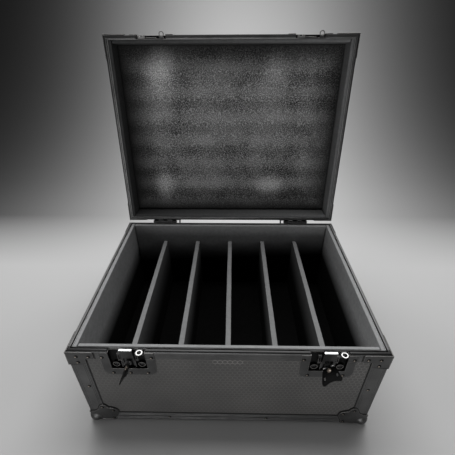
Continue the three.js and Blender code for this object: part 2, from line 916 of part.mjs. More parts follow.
// Butterfly wing, standing straight out from the front
function latchWing(centre) {
  const axis = inY(-1, -foldOut);
  const z = baseHeight - spindleDrop;
  const place = ([across, along]) => [centre + across * wingHalfWidth, axis - along * wingLength];
  const rightEdge = wingShares.map(place);
  const leftEdge = wingShares.map(([across, along]) => place([-across, along])).reverse();
  const root = earPlace - gap;
  const outline = [[centre - root, axis], [centre + root, axis], ...rightEdge, ...leftEdge.slice(1)];
  const blade = prism("level", outline, z - wingSheet / 2, z + wingSheet / 2);
  const slots = [-1, 1].map((hand) => {
    const [x, y] = place([hand * wingSlotShares[0], wingSlotShares[1]]);
    const half = wingSlotLength / 2;
    const slot = roundedOutline(
      x - wingSlotRadius,
      x + wingSlotRadius,
      y - half,
      y + half,
      wingSlotRadius,
      wingSlotRadius,
    );
    return prism("level", slot, z - overrun, z + overrun);
  });
  const studReach = wingSheet / 2 + wingStudCrown;
  const studPlace = axis - wingStudShare * wingLength;
  const barrel = rod("x", axis, z, centre - root, centre + root, wingBarrel, roundSides);
  const bore = rod("x", axis, z, centre - root - overrun, centre + root + overrun, foldPin + gap, roundSides);
  const stud = rod("z", centre, studPlace, z - studReach, z + studReach, wingStudRadius, fineSides);
  return join(cut(join(blade, barrel), bore, ...slots), stud);
}

// Hook plate: two legs on pivot pins, a bridge over the spindle and a nose turned in at the top
function latchHook(centre) {
  const y = (inset) => inY(-1, inset);
  const z = (drop) => baseHeight - drop;
  const front = y(hookPlane - hookSheet / 2);
  const back = y(hookPlane + hookSheet / 2);
  const nose = y(hookPlane + hookSheet / 2 + hookNose);
  const top = z(-hookTop);
  const legs = [-1, 1].flatMap((hand) => {
    const outer = centre + hand * hookHalfWidth;
    const inner = centre + hand * (hookHalfWidth - hookLeg);
    return [
      block(inner, outer, front, back, z(hookPivotDrop + hookFoot), z(hookBridgeDrop)),
      rod("x", y(hookPlane), z(hookPivotDrop), inner, outer + hand * hookPinReach, hookPin, roundSides),
    ];
  });
  return join(
    block(centre - hookHalfWidth, centre + hookHalfWidth, front, back, z(hookBridgeDrop), top),
    block(centre - hookHalfWidth, centre + hookHalfWidth, front, nose, top - hookSheet, top),
    ...legs,
  );
}

function buildLatches() {
  const turns = { left: leftTurn, right: rightTurn };
  for (const [name, side] of sides) {
    const centre = side * latchPlace;
    const turn = turns[name];
    addPiece(name + "_latch_base_dish", baseDish(centre), blackSteel);
    addPiece(name + "_latch_lid_dish", lidDish(centre), blackSteel, lidGroup);
    const spindleAxis = new THREE.Vector3(centre, inY(-1, 0), baseHeight - spindleDrop);
    const spindleGroup = makePivot(caseGroup, spindleAxis);
    spindleGroup.rotation.y = turn;
    addPiece(name + "_latch_spindle", latchSpindle(centre), blackSteel, spindleGroup);
    addPiece(name + "_latch_wing", latchWing(centre), blackSteel, spindleGroup);
    const hookAxis = new THREE.Vector3(centre, inY(-1, hookPlane), baseHeight - hookPivotDrop);
    const hookGroup = makePivot(caseGroup, hookAxis);
    hookGroup.rotation.x = (fullTilt * turn) / fullTurn;
    addPiece(name + "_latch_hook", latchHook(centre), chrome, hookGroup);
  }
}

// One leaf with its own knuckles. The base's knuckles are the odd ones and the lid's the even ones
function hingeLeaf(half, side) {
  const centre = side * hingePlace;
  const y = (out) => halfDepth + out;
  const z = (distance) => fromRim(half, distance);
  const start = centre - hingeLength / 2;
  const stayEdge = centre - side * (hingeLength / 2 + stayReach);
  const step = hingeLength / knuckleCount;
  const face = gap + hingeSheet;
  const first = half === baseHalf ? 1 : 0;
  let leaf = block(stayEdge, centre + (side * hingeLength) / 2, y(gap), y(face), z(leafStart), z(leafEnd));
  for (let i = first; i < knuckleCount; i += 2) {
    const from = start + i * step + gap / 2;
    const to = start + (i + 1) * step - gap / 2;
    leaf = join(
      leaf,
      rod("x", y(hingeAxisOut), baseHeight, from, to, knuckleRadius, fineSides),
      block(from, to, y(hingeAxisOut - knuckleRadius), y(face), z(0), z(leafStart + overrun)),
    );
  }
  const bore = rod(
    "x",
    y(hingeAxisOut),
    baseHeight,
    start - overrun,
    start + hingeLength + overrun,
    pinRadius + gap,
    roundSides,
  );
  const heads = [-leafRivetStep, 0, leafRivetStep].map((place) =>
    rivet("y", centre + place, z(leafRivetDrop), y(face), 1),
  );
  return join(cut(leaf, bore), ...heads);
}

// Gusset behind the base leaf, whose top lies under the opened lid's leaf and stops it
function hingeStay(side) {
  const centre = side * hingePlace;
  const edge = centre - side * (hingeLength / 2 + stayReach - stayInset);
  // Height of the open lid leaf's underside above the hinge axis, at a distance behind the axis
  const leafOut = hingeAxisOut - gap - hingeSheet;
  const under = (back) => (leafOut + back * Math.cos(lidOpenAngle)) / Math.sin(lidOpenAngle);
  const top = (back) => baseHeight + under(back) - gap;
  const y = (back) => halfDepth + hingeAxisOut + back;
  const outline = [
    [halfDepth + gap, baseHeight - stayDrop],
    [halfDepth + gap, baseHeight - leafStart],
    [y(0), baseHeight - leafStart],
    [y(stayFront), top(stayFront)],
    [y(stayBack), top(stayBack)],
    [y(stayBack), baseHeight - leafStart],
  ];
  return prism("side", outline, edge, edge + side * stayThickness);
}

function buildHinges() {
  for (const [name, side] of sides) {
    const baseLeaf = join(hingeLeaf(baseHalf, side), hingeStay(side));
    addPiece(name + "_hinge_base_leaf", baseLeaf, blackSteel);
    addPiece(name + "_hinge_lid_leaf", hingeLeaf(lidHalf, side), blackSteel, lidGroup);
    const centre = side * hingePlace;
    const reach = hingeLength / 2 + gap;
    const { y, z } = hingeAxis;
    const pin = join(
      rod("x", y, z, centre - reach, centre + reach, pinRadius, roundSides),
      rod("x", y, z, centre - reach - pinHead, centre - reach, pinHeadRadius, roundSides),
      rod("x", y, z, centre + reach, centre + reach + pinHead, pinHeadRadius, roundSides),
    );
    addPiece(name + "_hinge_pin", pin, pinSteel);
  }
}

function handleDish(side) {
  const x = (inset) => inX(side, inset);
  const pivot = handleHeight + bailPivotRise;
  const outline = roundedOutline(
    -handleHalfWidth,
    handleHalfWidth,
    handleHeight - handleHalfHeight,
    handleHeight + handleHalfHeight,
    handleCorner,
    handleCorner,
  );
  const pan = block(
    x(panelOuter - gap),
    x(pocketDepth + latchSheet),
    -handlePocketHalfWidth,
    handlePocketHalfWidth,
    handleHeight - handlePocketHalfHeight,
    handleHeight + handlePocketHalfHeight,
  );
  const hollow = block(
    x(-overrun),
    x(pocketDepth),
    latchSheet - handlePocketHalfWidth,
    handlePocketHalfWidth - latchSheet,
    handleHeight - handlePocketHalfHeight + latchSheet,
    handleHeight + handlePocketHalfHeight - latchSheet,
  );
  const face = x(panelOuter - gap - latchSheet);
  const flange = prism("side", outline, x(panelOuter - gap), face);
  const earInner = bailHalfWidth + bailRadius + gap;
  const blocks = [-1, 1].map((hand) =>
    cut(
      block(
        x(earBlockFront),
        x(pocketDepth),
        hand * earInner,
        hand * (earInner + earBlock),
        pivot - earBlockHalf,
        pivot + earBlockHalf,
      ),
      rod(
        "y",
        x(bailDepth),
        pivot,
        hand * bailHalfWidth,
        hand * (earInner + earBlock + overrun),
        bailPin + gap,
        roundSides,
      ),
    ),
  );
  const heads = [-1, 1].flatMap((hand) =>
    [-1, 1].map((rise) =>
      rivet("x", hand * handleRivetSide, handleHeight + rise * handleRivetRise, face, side),
    ),
  );
  return join(cut(join(flange, pan), hollow), ...blocks, ...heads);
}

// Sprung bail with a thick grip, hanging flat in its dish
function handleBail(side) {
  const x = inX(side, bailDepth);
  const pivot = handleHeight + bailPivotRise;
  const low = pivot - bailDrop;
  const legs = [-1, 1].flatMap((hand) => {
    const y = hand * bailHalfWidth;
    const pinEnd = hand * (bailHalfWidth + bailRadius + gap + earBlock);
    return [
      rod("z", x, y, low, pivot + bailRadius, bailRadius, roundSides),
      rod("y", x, pivot, y, pinEnd, bailPin, roundSides),
    ];
  });
  const barEnd = bailHalfWidth + bailRadius;
  return join(
    ...legs,
    rod("y", x, low, -barEnd, barEnd, bailRadius, roundSides),
    rod("y", x, low, -gripHalfLength, gripHalfLength, gripRadius, fineSides),
  );
}

function buildHandles() {
  for (const [name, side] of sides) {
    addPiece(name + "_handle_dish", handleDish(side), blackSteel);
    const pivot = new THREE.Vector3(inX(side, bailDepth), 0, handleHeight + bailPivotRise);
    addPiece(name + "_handle_bail", handleBail(side), blackSteel, makePivot(caseGroup, pivot));
  }
}

buildPanels();
buildEdging();
buildRims();
buildCorners();
buildFoam();
buildLatches();
buildHinges();
buildHandles();

export default caseGroup;
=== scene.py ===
import math
import bmesh
import bpy
from mathutils import Matrix, Vector, noise


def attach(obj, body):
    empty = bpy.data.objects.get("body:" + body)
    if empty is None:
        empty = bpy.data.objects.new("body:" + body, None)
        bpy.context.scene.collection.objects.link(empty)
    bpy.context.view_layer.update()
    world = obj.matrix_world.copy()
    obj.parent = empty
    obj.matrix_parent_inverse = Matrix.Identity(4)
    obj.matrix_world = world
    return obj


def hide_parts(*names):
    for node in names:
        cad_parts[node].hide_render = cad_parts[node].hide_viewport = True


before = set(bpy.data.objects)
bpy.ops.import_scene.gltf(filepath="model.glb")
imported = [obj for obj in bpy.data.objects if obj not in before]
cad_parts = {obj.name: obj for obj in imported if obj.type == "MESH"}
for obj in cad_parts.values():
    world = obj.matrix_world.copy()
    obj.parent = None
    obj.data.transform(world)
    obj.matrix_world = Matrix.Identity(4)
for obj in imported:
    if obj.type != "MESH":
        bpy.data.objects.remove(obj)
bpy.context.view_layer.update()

mm = 0.001
root3 = math.sqrt(3)

# lengths of the case in millimetres and its lid's angle in degrees, as the frame has them; the lid is
# modelled shut and then turned open
case = {
    "halfWidth": 320, "halfDepth": 250, "rim": 248, "lidTop": 323, "hingeOut": 5, "lidAngle": 97,
    "latch": 200, "hinge": 207, "spindleDrop": 34, "faceGap": 0.3, "plate": 1.5,
}
hingeLine = Vector((0, case["halfDepth"] + case["hingeOut"], case["rim"])) * mm
still = Matrix.Identity(4)
lidOpen = (Matrix.Translation(hingeLine) @ Matrix.Rotation(math.radians(-case["lidAngle"]), 4, "X")
           @ Matrix.Translation(-hingeLine))
halves = {  # which way each half runs from the rim, and the level of its outer face
    "base": {"up": -1, "outer": 0},
    "lid": {"up": 1, "outer": case["lidTop"]},
}
sides = {"left": -1, "right": 1}
ends = {"front": -1, "rear": 1}


# shader graphs
class Value:
    # wraps a socket, so that shader maths reads as plain sums
    def __init__(self, graph, socket):
        self.graph, self.socket = graph, socket

    def sum(self, how, second=0.0, first=None):
        first = self if first is None else first
        vectors = [a for a in (first, second) if isinstance(a, Value) and a.socket.type != "VALUE"]
        kind = "ShaderNodeVectorMath" if vectors else "ShaderNodeMath"
        return self.graph.add(kind, {"operation": how}, {0: first, 1: second})

    def __add__(self, other): return self.sum("ADD", other)
    def __radd__(self, other): return self.sum("ADD", self, other)
    def __sub__(self, other): return self.sum("SUBTRACT", other)
    def __rsub__(self, other): return self.sum("SUBTRACT", self, other)
    def __mul__(self, other): return self.sum("MULTIPLY", other)
    def __truediv__(self, other): return self.sum("DIVIDE", other)
    def __pow__(self, other): return self.sum("POWER", other)
    def __mod__(self, other): return self.sum("FLOORED_MODULO", other)
    def __lt__(self, other): return self.sum("LESS_THAN", other)
    def __gt__(self, other): return self.sum("GREATER_THAN", other)
    def __abs__(self): return self.sum("ABSOLUTE")
    def most(self, other): return self.sum("MAXIMUM", other)
    def least(self, other): return self.sum("MINIMUM", other)

    def pick(self, yes, no):
        # this value is a mask from 0 to 1
        return no + (yes - no) * self

    def ramp(self, low, high, start=0.0, end=1.0):
        inputs = {"Value": self, "From Min": low, "From Max": high, "To Min": start, "To Max": end}
        return self.graph.add("ShaderNodeMapRange", {"clamp": True}, inputs)

    def blend(self, first, second):
        # two colours mixed by this value
        inputs = {0: self, 6: first, 7: second}
        return self.graph.add("ShaderNodeMix", {"data_type": "RGBA"}, inputs, 2)


class Graph:
    def __init__(self, name, lidPart=False):
        self.material = bpy.data.materials.new(name)
        self.material.use_nodes = True
        self.nodes = self.material.node_tree.nodes
        self.nodes.clear()
        self.lidPart = lidPart

    def add(self, kind, settings=None, inputs=None, out=0):
        node = self.nodes.new(kind)
        for key, value in (settings or {}).items():
            setattr(node, key, value)
        for key, value in (inputs or {}).items():
            if isinstance(value, Value):
                self.material.node_tree.links.new(value.socket, node.inputs[key])
            else:
                node.inputs[key].default_value = value
        return Value(self, node.outputs[out]) if node.outputs else node

    def point(self):
        # place on the shut case, in metres
        place = self.add("ShaderNodeTexCoord", out="Object")
        if not self.lidPart:
            return place
        shut = lidOpen.inverted()
        settings = {"Vector": place, "Location": shut.to_translation(), "Rotation": shut.to_euler()}
        return self.add("ShaderNodeMapping", {"vector_type": "POINT"}, settings)

    def facing(self):
        normal = self.add("ShaderNodeTexCoord", out="Normal")
        if not self.lidPart:
            return normal
        settings = {"Vector": normal, "Rotation": lidOpen.inverted().to_euler()}
        return self.add("ShaderNodeMapping", {"vector_type": "VECTOR"}, settings)

    def split(self, vector):
        first = self.add("ShaderNodeSeparateXYZ", None, {0: vector})
        return [Value(self, out) for out in first.socket.node.outputs]

    def noise(self, where, size, detail=2.0, rough=0.5):
        # size is in metres
        inputs = {"Vector": where, "Scale": 1 / size, "Detail": detail, "Roughness": rough}
        return self.add("ShaderNodeTexNoise", None, inputs)

    def bump(self, height, distance, strength=1.0):
        inputs = {"Height": height, "Distance": distance, "Strength": strength}
        return self.add("ShaderNodeBump", None, inputs)

    def finish(self, **inputs):
        names = {name.replace("_", " "): value for name, value in inputs.items()}
        shader = self.add("ShaderNodeBsdfPrincipled", None, names)
        self.add("ShaderNodeOutputMaterial", None, {"Surface": shader})
        return self.material


def grey(level, warm=0.0):
    return (level * (1 + warm), level, level * (1 - warm), 1.0)


def honeycombEdge(u, v):
    # distance to the nearest edge in a honeycomb of unit cells with upright sides
    firstU, firstV = (u % 1) - 0.5, (v % root3) - root3 / 2
    otherU, otherV = ((u - 0.5) % 1) - 0.5, ((v - root3 / 2) % root3) - root3 / 2
    near = (firstU * firstU + firstV * firstV) < (otherU * otherU + otherV * otherV)
    cellU, cellV = abs(near.pick(firstU, otherU)), abs(near.pick(firstV, otherV))
    return 0.5 - cellU.most(cellU * 0.5 + cellV * (root3 / 2))


laminateLook = {"cell": 0.010, "line": 0.1, "dark": 0.062, "light": 0.16, "rough": 0.5, "relief": 0.00025,
                "grain": 0.0012, "smudge": 0.09, "lean": 0.9, "clear": (-0.15, 0.45, 0.3, 1.0),
                "shade": (0.35, 0.7, 0.6, 1.0), "shadeShare": 0.8, "ground": (0.3, 0.75), "spread": 0.15,
                "warm": (0.02, 0.03, 0.04), "lineHeight": 0.7, "lineRough": 0.08, "grainRough": 0.12,
                "patch": (0.001, 0.218, 0.028, 0.006), "patchFade": 0.005,
                "patchLine": (0.02, 0.15, 0.9, 0.0)}
bumpStrength = 0.9
aside = 0.5  # a normal's part past which a face counts as turned that way


def laminateFinish(name, lidPart):
    g = Graph(name, lidPart)
    where = g.point()
    x, y, z = g.split(where)
    nx, _, nz = g.split(g.facing())
    onSide, onLevel = abs(nx) > aside, abs(nz) > aside
    u, v = onSide.pick(y, x), onLevel.pick(y, z)
    look = laminateLook
    edge = honeycombEdge(u / look["cell"], v / look["cell"])
    line = edge.ramp(0.0, look["line"], 1.0, 0.0)
    grain = g.noise(where, look["grain"], 3.0)
    smudge = g.noise(where, look["smudge"], 3.0)
    # the pattern catches the light most towards the upper right
    clear = (x * look["lean"] + z).ramp(*look["clear"])
    shade = line * clear * smudge.ramp(*look["shade"]) * look["shadeShare"]
    # a few clearer cells at the top middle of the front
    patchX, patchZ, halfX, halfZ = look["patch"]
    patch = abs(x - patchX).ramp(halfX, halfX + look["patchFade"], 1.0, 0.0)
    patch = patch * abs(z - patchZ).ramp(halfZ, halfZ + look["patchFade"], 1.0, 0.0)
    pale = patch * (y < 0.0) * edge.ramp(*look["patchLine"])
    low, high, light = look["warm"]
    ground = smudge.ramp(*look["ground"]).blend(grey(look["dark"] * (1 - look["spread"]), low),
                                                grey(look["dark"] * (1 + look["spread"]), high))
    colour = (shade + pale).blend(ground, grey(look["light"], light))
    height = line * look["lineHeight"] + grain * (1 - look["lineHeight"])
    return g.finish(Base_Color=colour, Normal=g.bump(height, look["relief"], bumpStrength),
                    Roughness=look["rough"] + grain * look["grainRough"] - line * look["lineRough"])


metalLook = {"smudge": 0.035, "tone": (0.35, 0.72), "dark": 0.85, "bump": 0.6, "smudgeRough": 0.12,
             "grainRough": 0.04, "behind": (-0.2394, -0.236)}


def metalFinish(name, level, rough, metallic=0.85, warm=0.0, grainSize=0.0016, relief=0.00003, brightShare=1.25,
                front=None):
    # the last but one share is the share of the tone where it is brightest, and front the share that is left
    # along the case's front, painted shade where the light falls off there
    g = Graph(name)
    where = g.point()
    look = metalLook
    grain = g.noise(where, grainSize, 3.0)
    smudge = g.noise(where, look["smudge"], 4.0, 0.6)
    tone = smudge.ramp(*look["tone"])
    if front is None:
        colour = tone.blend(grey(level * look["dark"], warm), grey(level * brightShare, warm))
    else:
        # painted shade: the tone falls off towards the case's front
        behind = g.split(where)[1].ramp(*look["behind"])
        colour = (tone * behind + behind).blend(grey(level * front), grey(level * brightShare / 2))
    return g.finish(Base_Color=colour, Metallic=metallic, Normal=g.bump(grain, relief, look["bump"]),
                    Roughness=(rough - look["smudgeRough"] / 2) + smudge * look["smudgeRough"]
                    + grain * look["grainRough"])


foamLook = {"rough": 0.95, "specular": 0.12, "detail": 0.65, "mottle": 6, "cloud": 0.11,
            "shares": (0.5, 0.3, 0.2), "tone": (0.36, 0.64), "reach": 0.3, "lean": 0.05, "deepest": 0.01,
            "up": (0.35, 0.85), "topSpread": (0.82, 1.15), "mottleHeight": 0.6, "warm": -0.01}


def foamFinish(name, dark, light, cellSize, relief, top=0.0, fade=None, sides=(0.88, 1.25)):
    # top is the tone of what looks up, a painted highlight on the tops, fade the span of height in which the
    # sides get their full tone, with painted shade below it, and sides the shares of it at the left and the
    # right, painted light from one side
    g = Graph(name)
    where = g.point()
    x, _, z = g.split(where)
    look = foamLook
    cells = g.noise(where, cellSize, 4.0, look["detail"])
    mottle = g.noise(where, cellSize * look["mottle"], 3.0)
    cloud = g.noise(where, look["cloud"], 2.0)
    first, second, third = look["shares"]
    tone = cells * first + mottle * second + cloud * third
    # painted light: one side lighter than the other
    level = tone.ramp(*look["tone"], dark, light) * x.ramp(-look["reach"], look["reach"], *sides)
    # painted shade: the sides darken lower down, along a line that slants across the case
    if fade:
        level = level * (z - x * look["lean"]).ramp(*fade, look["deepest"], 1.0)
    # painted highlight: what looks up takes the lighter top tone
    if top:
        upward = g.split(g.facing())[2].ramp(*look["up"])
        level = upward.pick(tone.ramp(*look["tone"], *(top * share for share in look["topSpread"])), level)
    return g.finish(Base_Color=level.ramp(0.0, 1.0).blend(grey(0.0), grey(1.0, look["warm"])),
                    Roughness=look["rough"], Specular_IOR_Level=look["specular"],
                    Normal=g.bump(cells + mottle * look["mottleHeight"], relief, bumpStrength))


padLook = {"cell": 0.0027, "relief": 0.0009, "dark": 0.016, "light": 0.8, "base": 0.66, "halfX": 0.3014,
           "halfY": 0.2314, "tone": (0.38, 0.66), "power": 1.7, "cellShare": 0.76, "cloud": 0.13,
           "cloudTone": (0.35, 0.65), "edge": (0.0, 0.085, 0.04, 1.0), "upper": (-0.05, 0.23, 1.08, 0.68),
           "fromLeft": (0.015, 0.1, 0.35, 1.0), "bands": (0.0115, 0.06475, 0.045), "glowPower": 3.2,
           "glowTone": (1.1, 0.4),
           "glows": [(-0.19, -0.164, 0.07, 0.085, 0.48), (0.12, -0.17, 0.06, 0.08, 0.15),
                     (-0.204, 0.145, 0.055, 0.07, 0.4), (0.124, 0.147, 0.085, 0.05, 0.34)]}


def padFinish():
    # speckled foam with soft ripples, painted shade at its edges, at its left, towards its hinge and in bands
    # along its ripples, and four painted pools of light
    g = Graph("padFoam", True)
    where = g.point()
    x, y, _ = g.split(where)
    look = padLook
    cells = g.noise(where, look["cell"], 3.0, 0.6)
    cloud = g.noise(where, look["cloud"], 2.0)
    tone = (cells.ramp(*look["tone"]) ** look["power"] * look["cellShare"]
            + cloud.ramp(*look["cloudTone"]) * (1 - look["cellShare"]))
    # painted shade at the edges, at the left, towards the hinge and in bands along the ripples
    edge = (look["halfX"] - abs(x)).least(look["halfY"] - abs(y)).ramp(*look["edge"])
    shift, pitch, depth = look["bands"]
    wave = ((y - shift) * (2 * math.pi / pitch)).sum("COSINE")
    upper = y.ramp(*look["upper"]) * (x + look["halfX"]).ramp(*look["fromLeft"])
    amount = tone * edge * upper * look["base"] + wave * edge * depth
    gainTone, gainFlat = look["glowTone"]
    # four painted pools of light
    for glowX, glowY, reachX, reachY, gain in look["glows"]:
        u, v = (x - glowX) / reachX, (y - glowY) / reachY
        pool = (1 - (u * u + v * v)).most(0.0) ** look["glowPower"]
        amount = amount + pool * (tone * gainTone + gainFlat) * gain
    colour = amount.ramp(0.0, 1.0).blend(grey(look["dark"]), grey(look["light"]))
    return g.finish(Base_Color=colour, Roughness=foamLook["rough"], Specular_IOR_Level=foamLook["specular"],
                    Normal=g.bump(cells, look["relief"], bumpStrength))


finishes = {
    "laminate": laminateFinish("laminate", False),
    "lidLaminate": laminateFinish("lidLaminate", True),
    "aluminium": metalFinish("blackAluminium", 0.1, 0.4),
    # lighter lips and tops for the rims: painted highlights, with painted shade along the case's front
    "lip": metalFinish("wornLip", 0.22, 0.42, 0.9, brightShare=1.3),
    "brightLip": metalFinish("brightLip", 0.6, 0.4, 0.9, brightShare=1.5, front=0.12),
    "steel": metalFinish("blackSteel", 0.065, 0.42, 0.75, grainSize=0.0009, relief=0.00004),
    # a lighter finish for rounded edges: painted highlight where edges catch the light
    "edge": metalFinish("edgeHighlight", 0.24, 0.38, 0.9, 0.03),
    # black strips that stand for the shade in gaps and round plates: painted shade
    "gasket": metalFinish("blackShadeStrip", 0.006, 0.7, 0.0),
    "chrome": metalFinish("chromePlate", 0.5, 0.3, 1.0, -0.01, relief=0.00001, brightShare=1.1),
    "nickel": metalFinish("nickelPlate", 0.36, 0.3, 1.0, 0.01, relief=0.00001, brightShare=1.15),
    # a darker copy of the nickel, for the lid's eye: painted shade
    "dullNickel": metalFinish("dullNickel", 0.2, 0.38, 1.0, 0.01, relief=0.00001, brightShare=1.2),
    "brass": metalFinish("agedBrass", 0.3, 0.38, 1.0, 0.16, relief=0.00003, brightShare=1.5),
    "rimTop": metalFinish("rimTop", 0.22, 0.42, 0.9, brightShare=1.5, front=0.16),
    "wing": metalFinish("blackWing", 0.005, 0.4, 0.85),
    # painted highlight on the wing's rounded edges
    "wingEdge": metalFinish("wingEdge", 0.07, 0.4, 0.9),
    "deep": metalFinish("pocketShade", 0.006, 0.55, 0.8),
    "pin": metalFinish("pinSteel", 0.32, 0.3, 1.0, relief=0.00002),
    "rivet": metalFinish("rivetBlack", 0.014, 0.4, 1.0),
    # a painted highlight for a spot set off to one side of each rivet head
    "worn": metalFinish("rivetHighlight", 0.32, 0.32, 1.0, 0.16, brightShare=1.5),
    "grip": metalFinish("gripRubber", 0.028, 0.72, 0.0, grainSize=0.0007, relief=0.0001),
    # the foams carry painted light: lighter tops, painted shade lower down, and one side lighter than the
    # other, most in the lid
    "foam": foamFinish("wallFoam", 0.23, 0.35, 0.0016, 0.0003, 0.3, (0.125, 0.185)),
    "dividerFoam": foamFinish("dividerFoam", 0.085, 0.125, 0.0016, 0.0003, 0.22, (0.09, 0.2)),
    "lidFoam": foamFinish("lidFoam", 0.1, 0.155, 0.0016, 0.0003, sides=(0.38, 1.3)),
    # near black: dark foam, darkened further for the shade deep in the bays (painted shade)
    "darkFoam": foamFinish("floorFoam", 0.002, 0.005, 0.0018, 0.0004),
    "padFoam": padFinish(),
}
print("finishes made:", len(finishes))


# mesh helpers, all in millimetres
meshLook = {"weld": 1e-4, "flat": 1, "bevelAngle": 34}


def spot(plane, a, b, c):
    # a point from its two places in a plane and its place along the plane's normal
    return {"front": (a, c, b), "side": (c, a, b), "level": (a, b, c)}[plane]


def filleted(outline, radii, steps=4):
    # rounds each corner that has a radius
    made = []
    count = len(outline)
    for i, corner in enumerate(outline):
        radius = radii[i % len(radii)]
        here = Vector(corner)
        if not radius:
            made.append(tuple(here))
            continue
        back = (Vector(outline[i - 1]) - here).normalized() * radius
        ahead = (Vector(outline[(i + 1) % count]) - here).normalized() * radius
        for k in range(steps + 1):
            t = k / steps
            made.append(tuple(here + back * (1 - t) ** 2 + ahead * t ** 2))
    return made


def softened(outline, fixed, rounds=2):
    # cuts the corners of an outline again and again, all but its fixed points
    points = [(Vector(p), i in fixed) for i, p in enumerate(outline)]
    for _ in range(rounds):
        cut = []
        for i, (here, held) in enumerate(points):
            after, afterHeld = points[(i + 1) % len(points)]
            if held:
                cut.append((here, True))
            else:
                cut.append((here.lerp(after, 0.25), False))
            if not afterHeld:
                cut.append((here.lerp(after, 0.75), False))
        points = cut
    return [tuple(p) for p, _ in points]


class Form:
    # a mesh in the making
    def __init__(self):
        self.bm = bmesh.new()
        self.index = 0

    def loft(self, loops, closed=False, bands=None, marks=None):
        made = [[self.bm.verts.new(p) for p in loop] for loop in loops]
        pairs = list(zip(made, made[1:])) + ([(made[-1], made[0])] if closed else [])
        count = len(made[0])
        for k, (low, high) in enumerate(pairs):
            for i in range(count):
                j = (i + 1) % count
                face = self.bm.faces.new((low[i], low[j], high[j], high[i]))
                face.material_index = bands[k] if bands else (marks[i] if marks else self.index)
        if not closed:
            for loop in (made[0], made[-1]):
                face = self.bm.faces.new(loop)
                face.material_index = bands[-1] if bands and loop is made[-1] else self.index
        return self

    def plate(self, plane, outline, start, end):
        return self.loft([[spot(plane, a, b, c) for a, b in outline] for c in (start, end)])

    def box(self, x0, x1, y0, y1, z0, z1):
        (x0, x1), (y0, y1), (z0, z1) = sorted((x0, x1)), sorted((y0, y1)), sorted((z0, z1))
        return self.plate("level", [(x0, y0), (x1, y0), (x1, y1), (x0, y1)], z0, z1)

    def lathe(self, plane, a, b, profile, steps=20, bands=None):
        # profile is a list of (radius, place along the normal)
        angles = [2 * math.pi * k / steps for k in range(steps)]
        loops = [[spot(plane, a + r * math.cos(t), b + r * math.sin(t), c) for t in angles]
                 for r, c in profile]
        return self.loft(loops, bands=bands)

    def ring(self, section, marks=None):
        # frame with mitred corners; section is a list of (inset, height)
        corners = [(-1, -1), (1, -1), (1, 1), (-1, 1)]
        loops = [[(sx * (case["halfWidth"] - u), sy * (case["halfDepth"] - u), h) for u, h in section]
                 for sx, sy in corners]
        return self.loft(loops, closed=True, marks=marks)

    def tube(self, path, radius, steps=14):
        points = [Vector(p) for p in path]
        loops = []
        side = None
        for i, here in enumerate(points):
            along = (points[min(i + 1, len(points) - 1)] - points[max(i - 1, 0)]).normalized()
            if side is None:
                side = along.orthogonal().normalized()
            side = (side - along * side.dot(along)).normalized()
            other = along.cross(side)
            r = radius(i / (len(points) - 1)) if callable(radius) else radius
            angles = [2 * math.pi * k / steps for k in range(steps)]
            loops.append([here + (side * math.cos(t) + other * math.sin(t)) * r for t in angles])
        return self.loft(loops)

    def mesh(self, name):
        bmesh.ops.remove_doubles(self.bm, verts=self.bm.verts, dist=meshLook["weld"])
        bmesh.ops.recalc_face_normals(self.bm, faces=self.bm.faces)
        self.bm.transform(Matrix.Scale(mm, 4))
        mesh = bpy.data.meshes.new(name)
        self.bm.to_mesh(mesh)
        self.bm.free()
        return mesh


def setOut(name, mesh, finish, body="base", replaces=(), slotName="black_steel", place=None, bevel=0.4,
           segments=2, smooth=38, cutters=(), worn=None):
    # puts a finished mesh on its body, with its materials, rounded edges and shading, and a painted highlight
    # on the rounded edges where one is given
    piece = bpy.data.objects.new(name, mesh)
    bpy.context.scene.collection.objects.link(piece)
    for one in (finish if isinstance(finish, list) else [finish]) + ([worn] if worn else []):
        mesh.materials.append(finishes[one])
    if cutters:
        carve(piece, cutters)
    if place is None:
        place = lidOpen if body == "lid" else still
    piece.data.transform(place)
    piece.data.shade_smooth()
    piece.data.set_sharp_from_angle(angle=math.radians(smooth))
    if bevel:
        edge = piece.modifiers.new("edges", "BEVEL")
        edge.width, edge.segments = bevel * mm, segments
        edge.limit_method, edge.angle_limit = "ANGLE", math.radians(meshLook["bevelAngle"])
        edge.harden_normals = True
        if worn:
            edge.material = len(piece.data.materials) - 1
    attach(piece, body)
    if replaces:
        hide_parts(*replaces)
    return piece


def carve(piece, cutters):
    # takes closed forms away from a piece and keeps the result as plain mesh
    tools = []
    for k, form in enumerate(cutters):
        tool = bpy.data.objects.new(f"{piece.name}.tool{k}", form.mesh(f"{piece.name}.tool{k}"))
        bpy.context.scene.collection.objects.link(tool)
        away = piece.modifiers.new(f"away{k}", "BOOLEAN")
        away.operation, away.solver, away.object = "DIFFERENCE", "EXACT", tool
        tools.append(tool)
    bpy.context.view_layer.update()
    depsgraph = bpy.context.evaluated_depsgraph_get()
    made = bpy.data.meshes.new_from_object(piece.evaluated_get(depsgraph))
    piece.modifiers.clear()
    piece.data = made
    for tool in tools:
        bpy.data.objects.remove(tool)


def addPiece(name, form, finish, body="base", **more):
    return setOut(name, form.mesh(name), finish, body, **more)


def standIn(node, form, finish, body="base", **more):
    # a piece that takes the place of one of the frame's nodes
    return setOut(node + ".dressed", form.mesh(node), finish, body, (node,), **more)


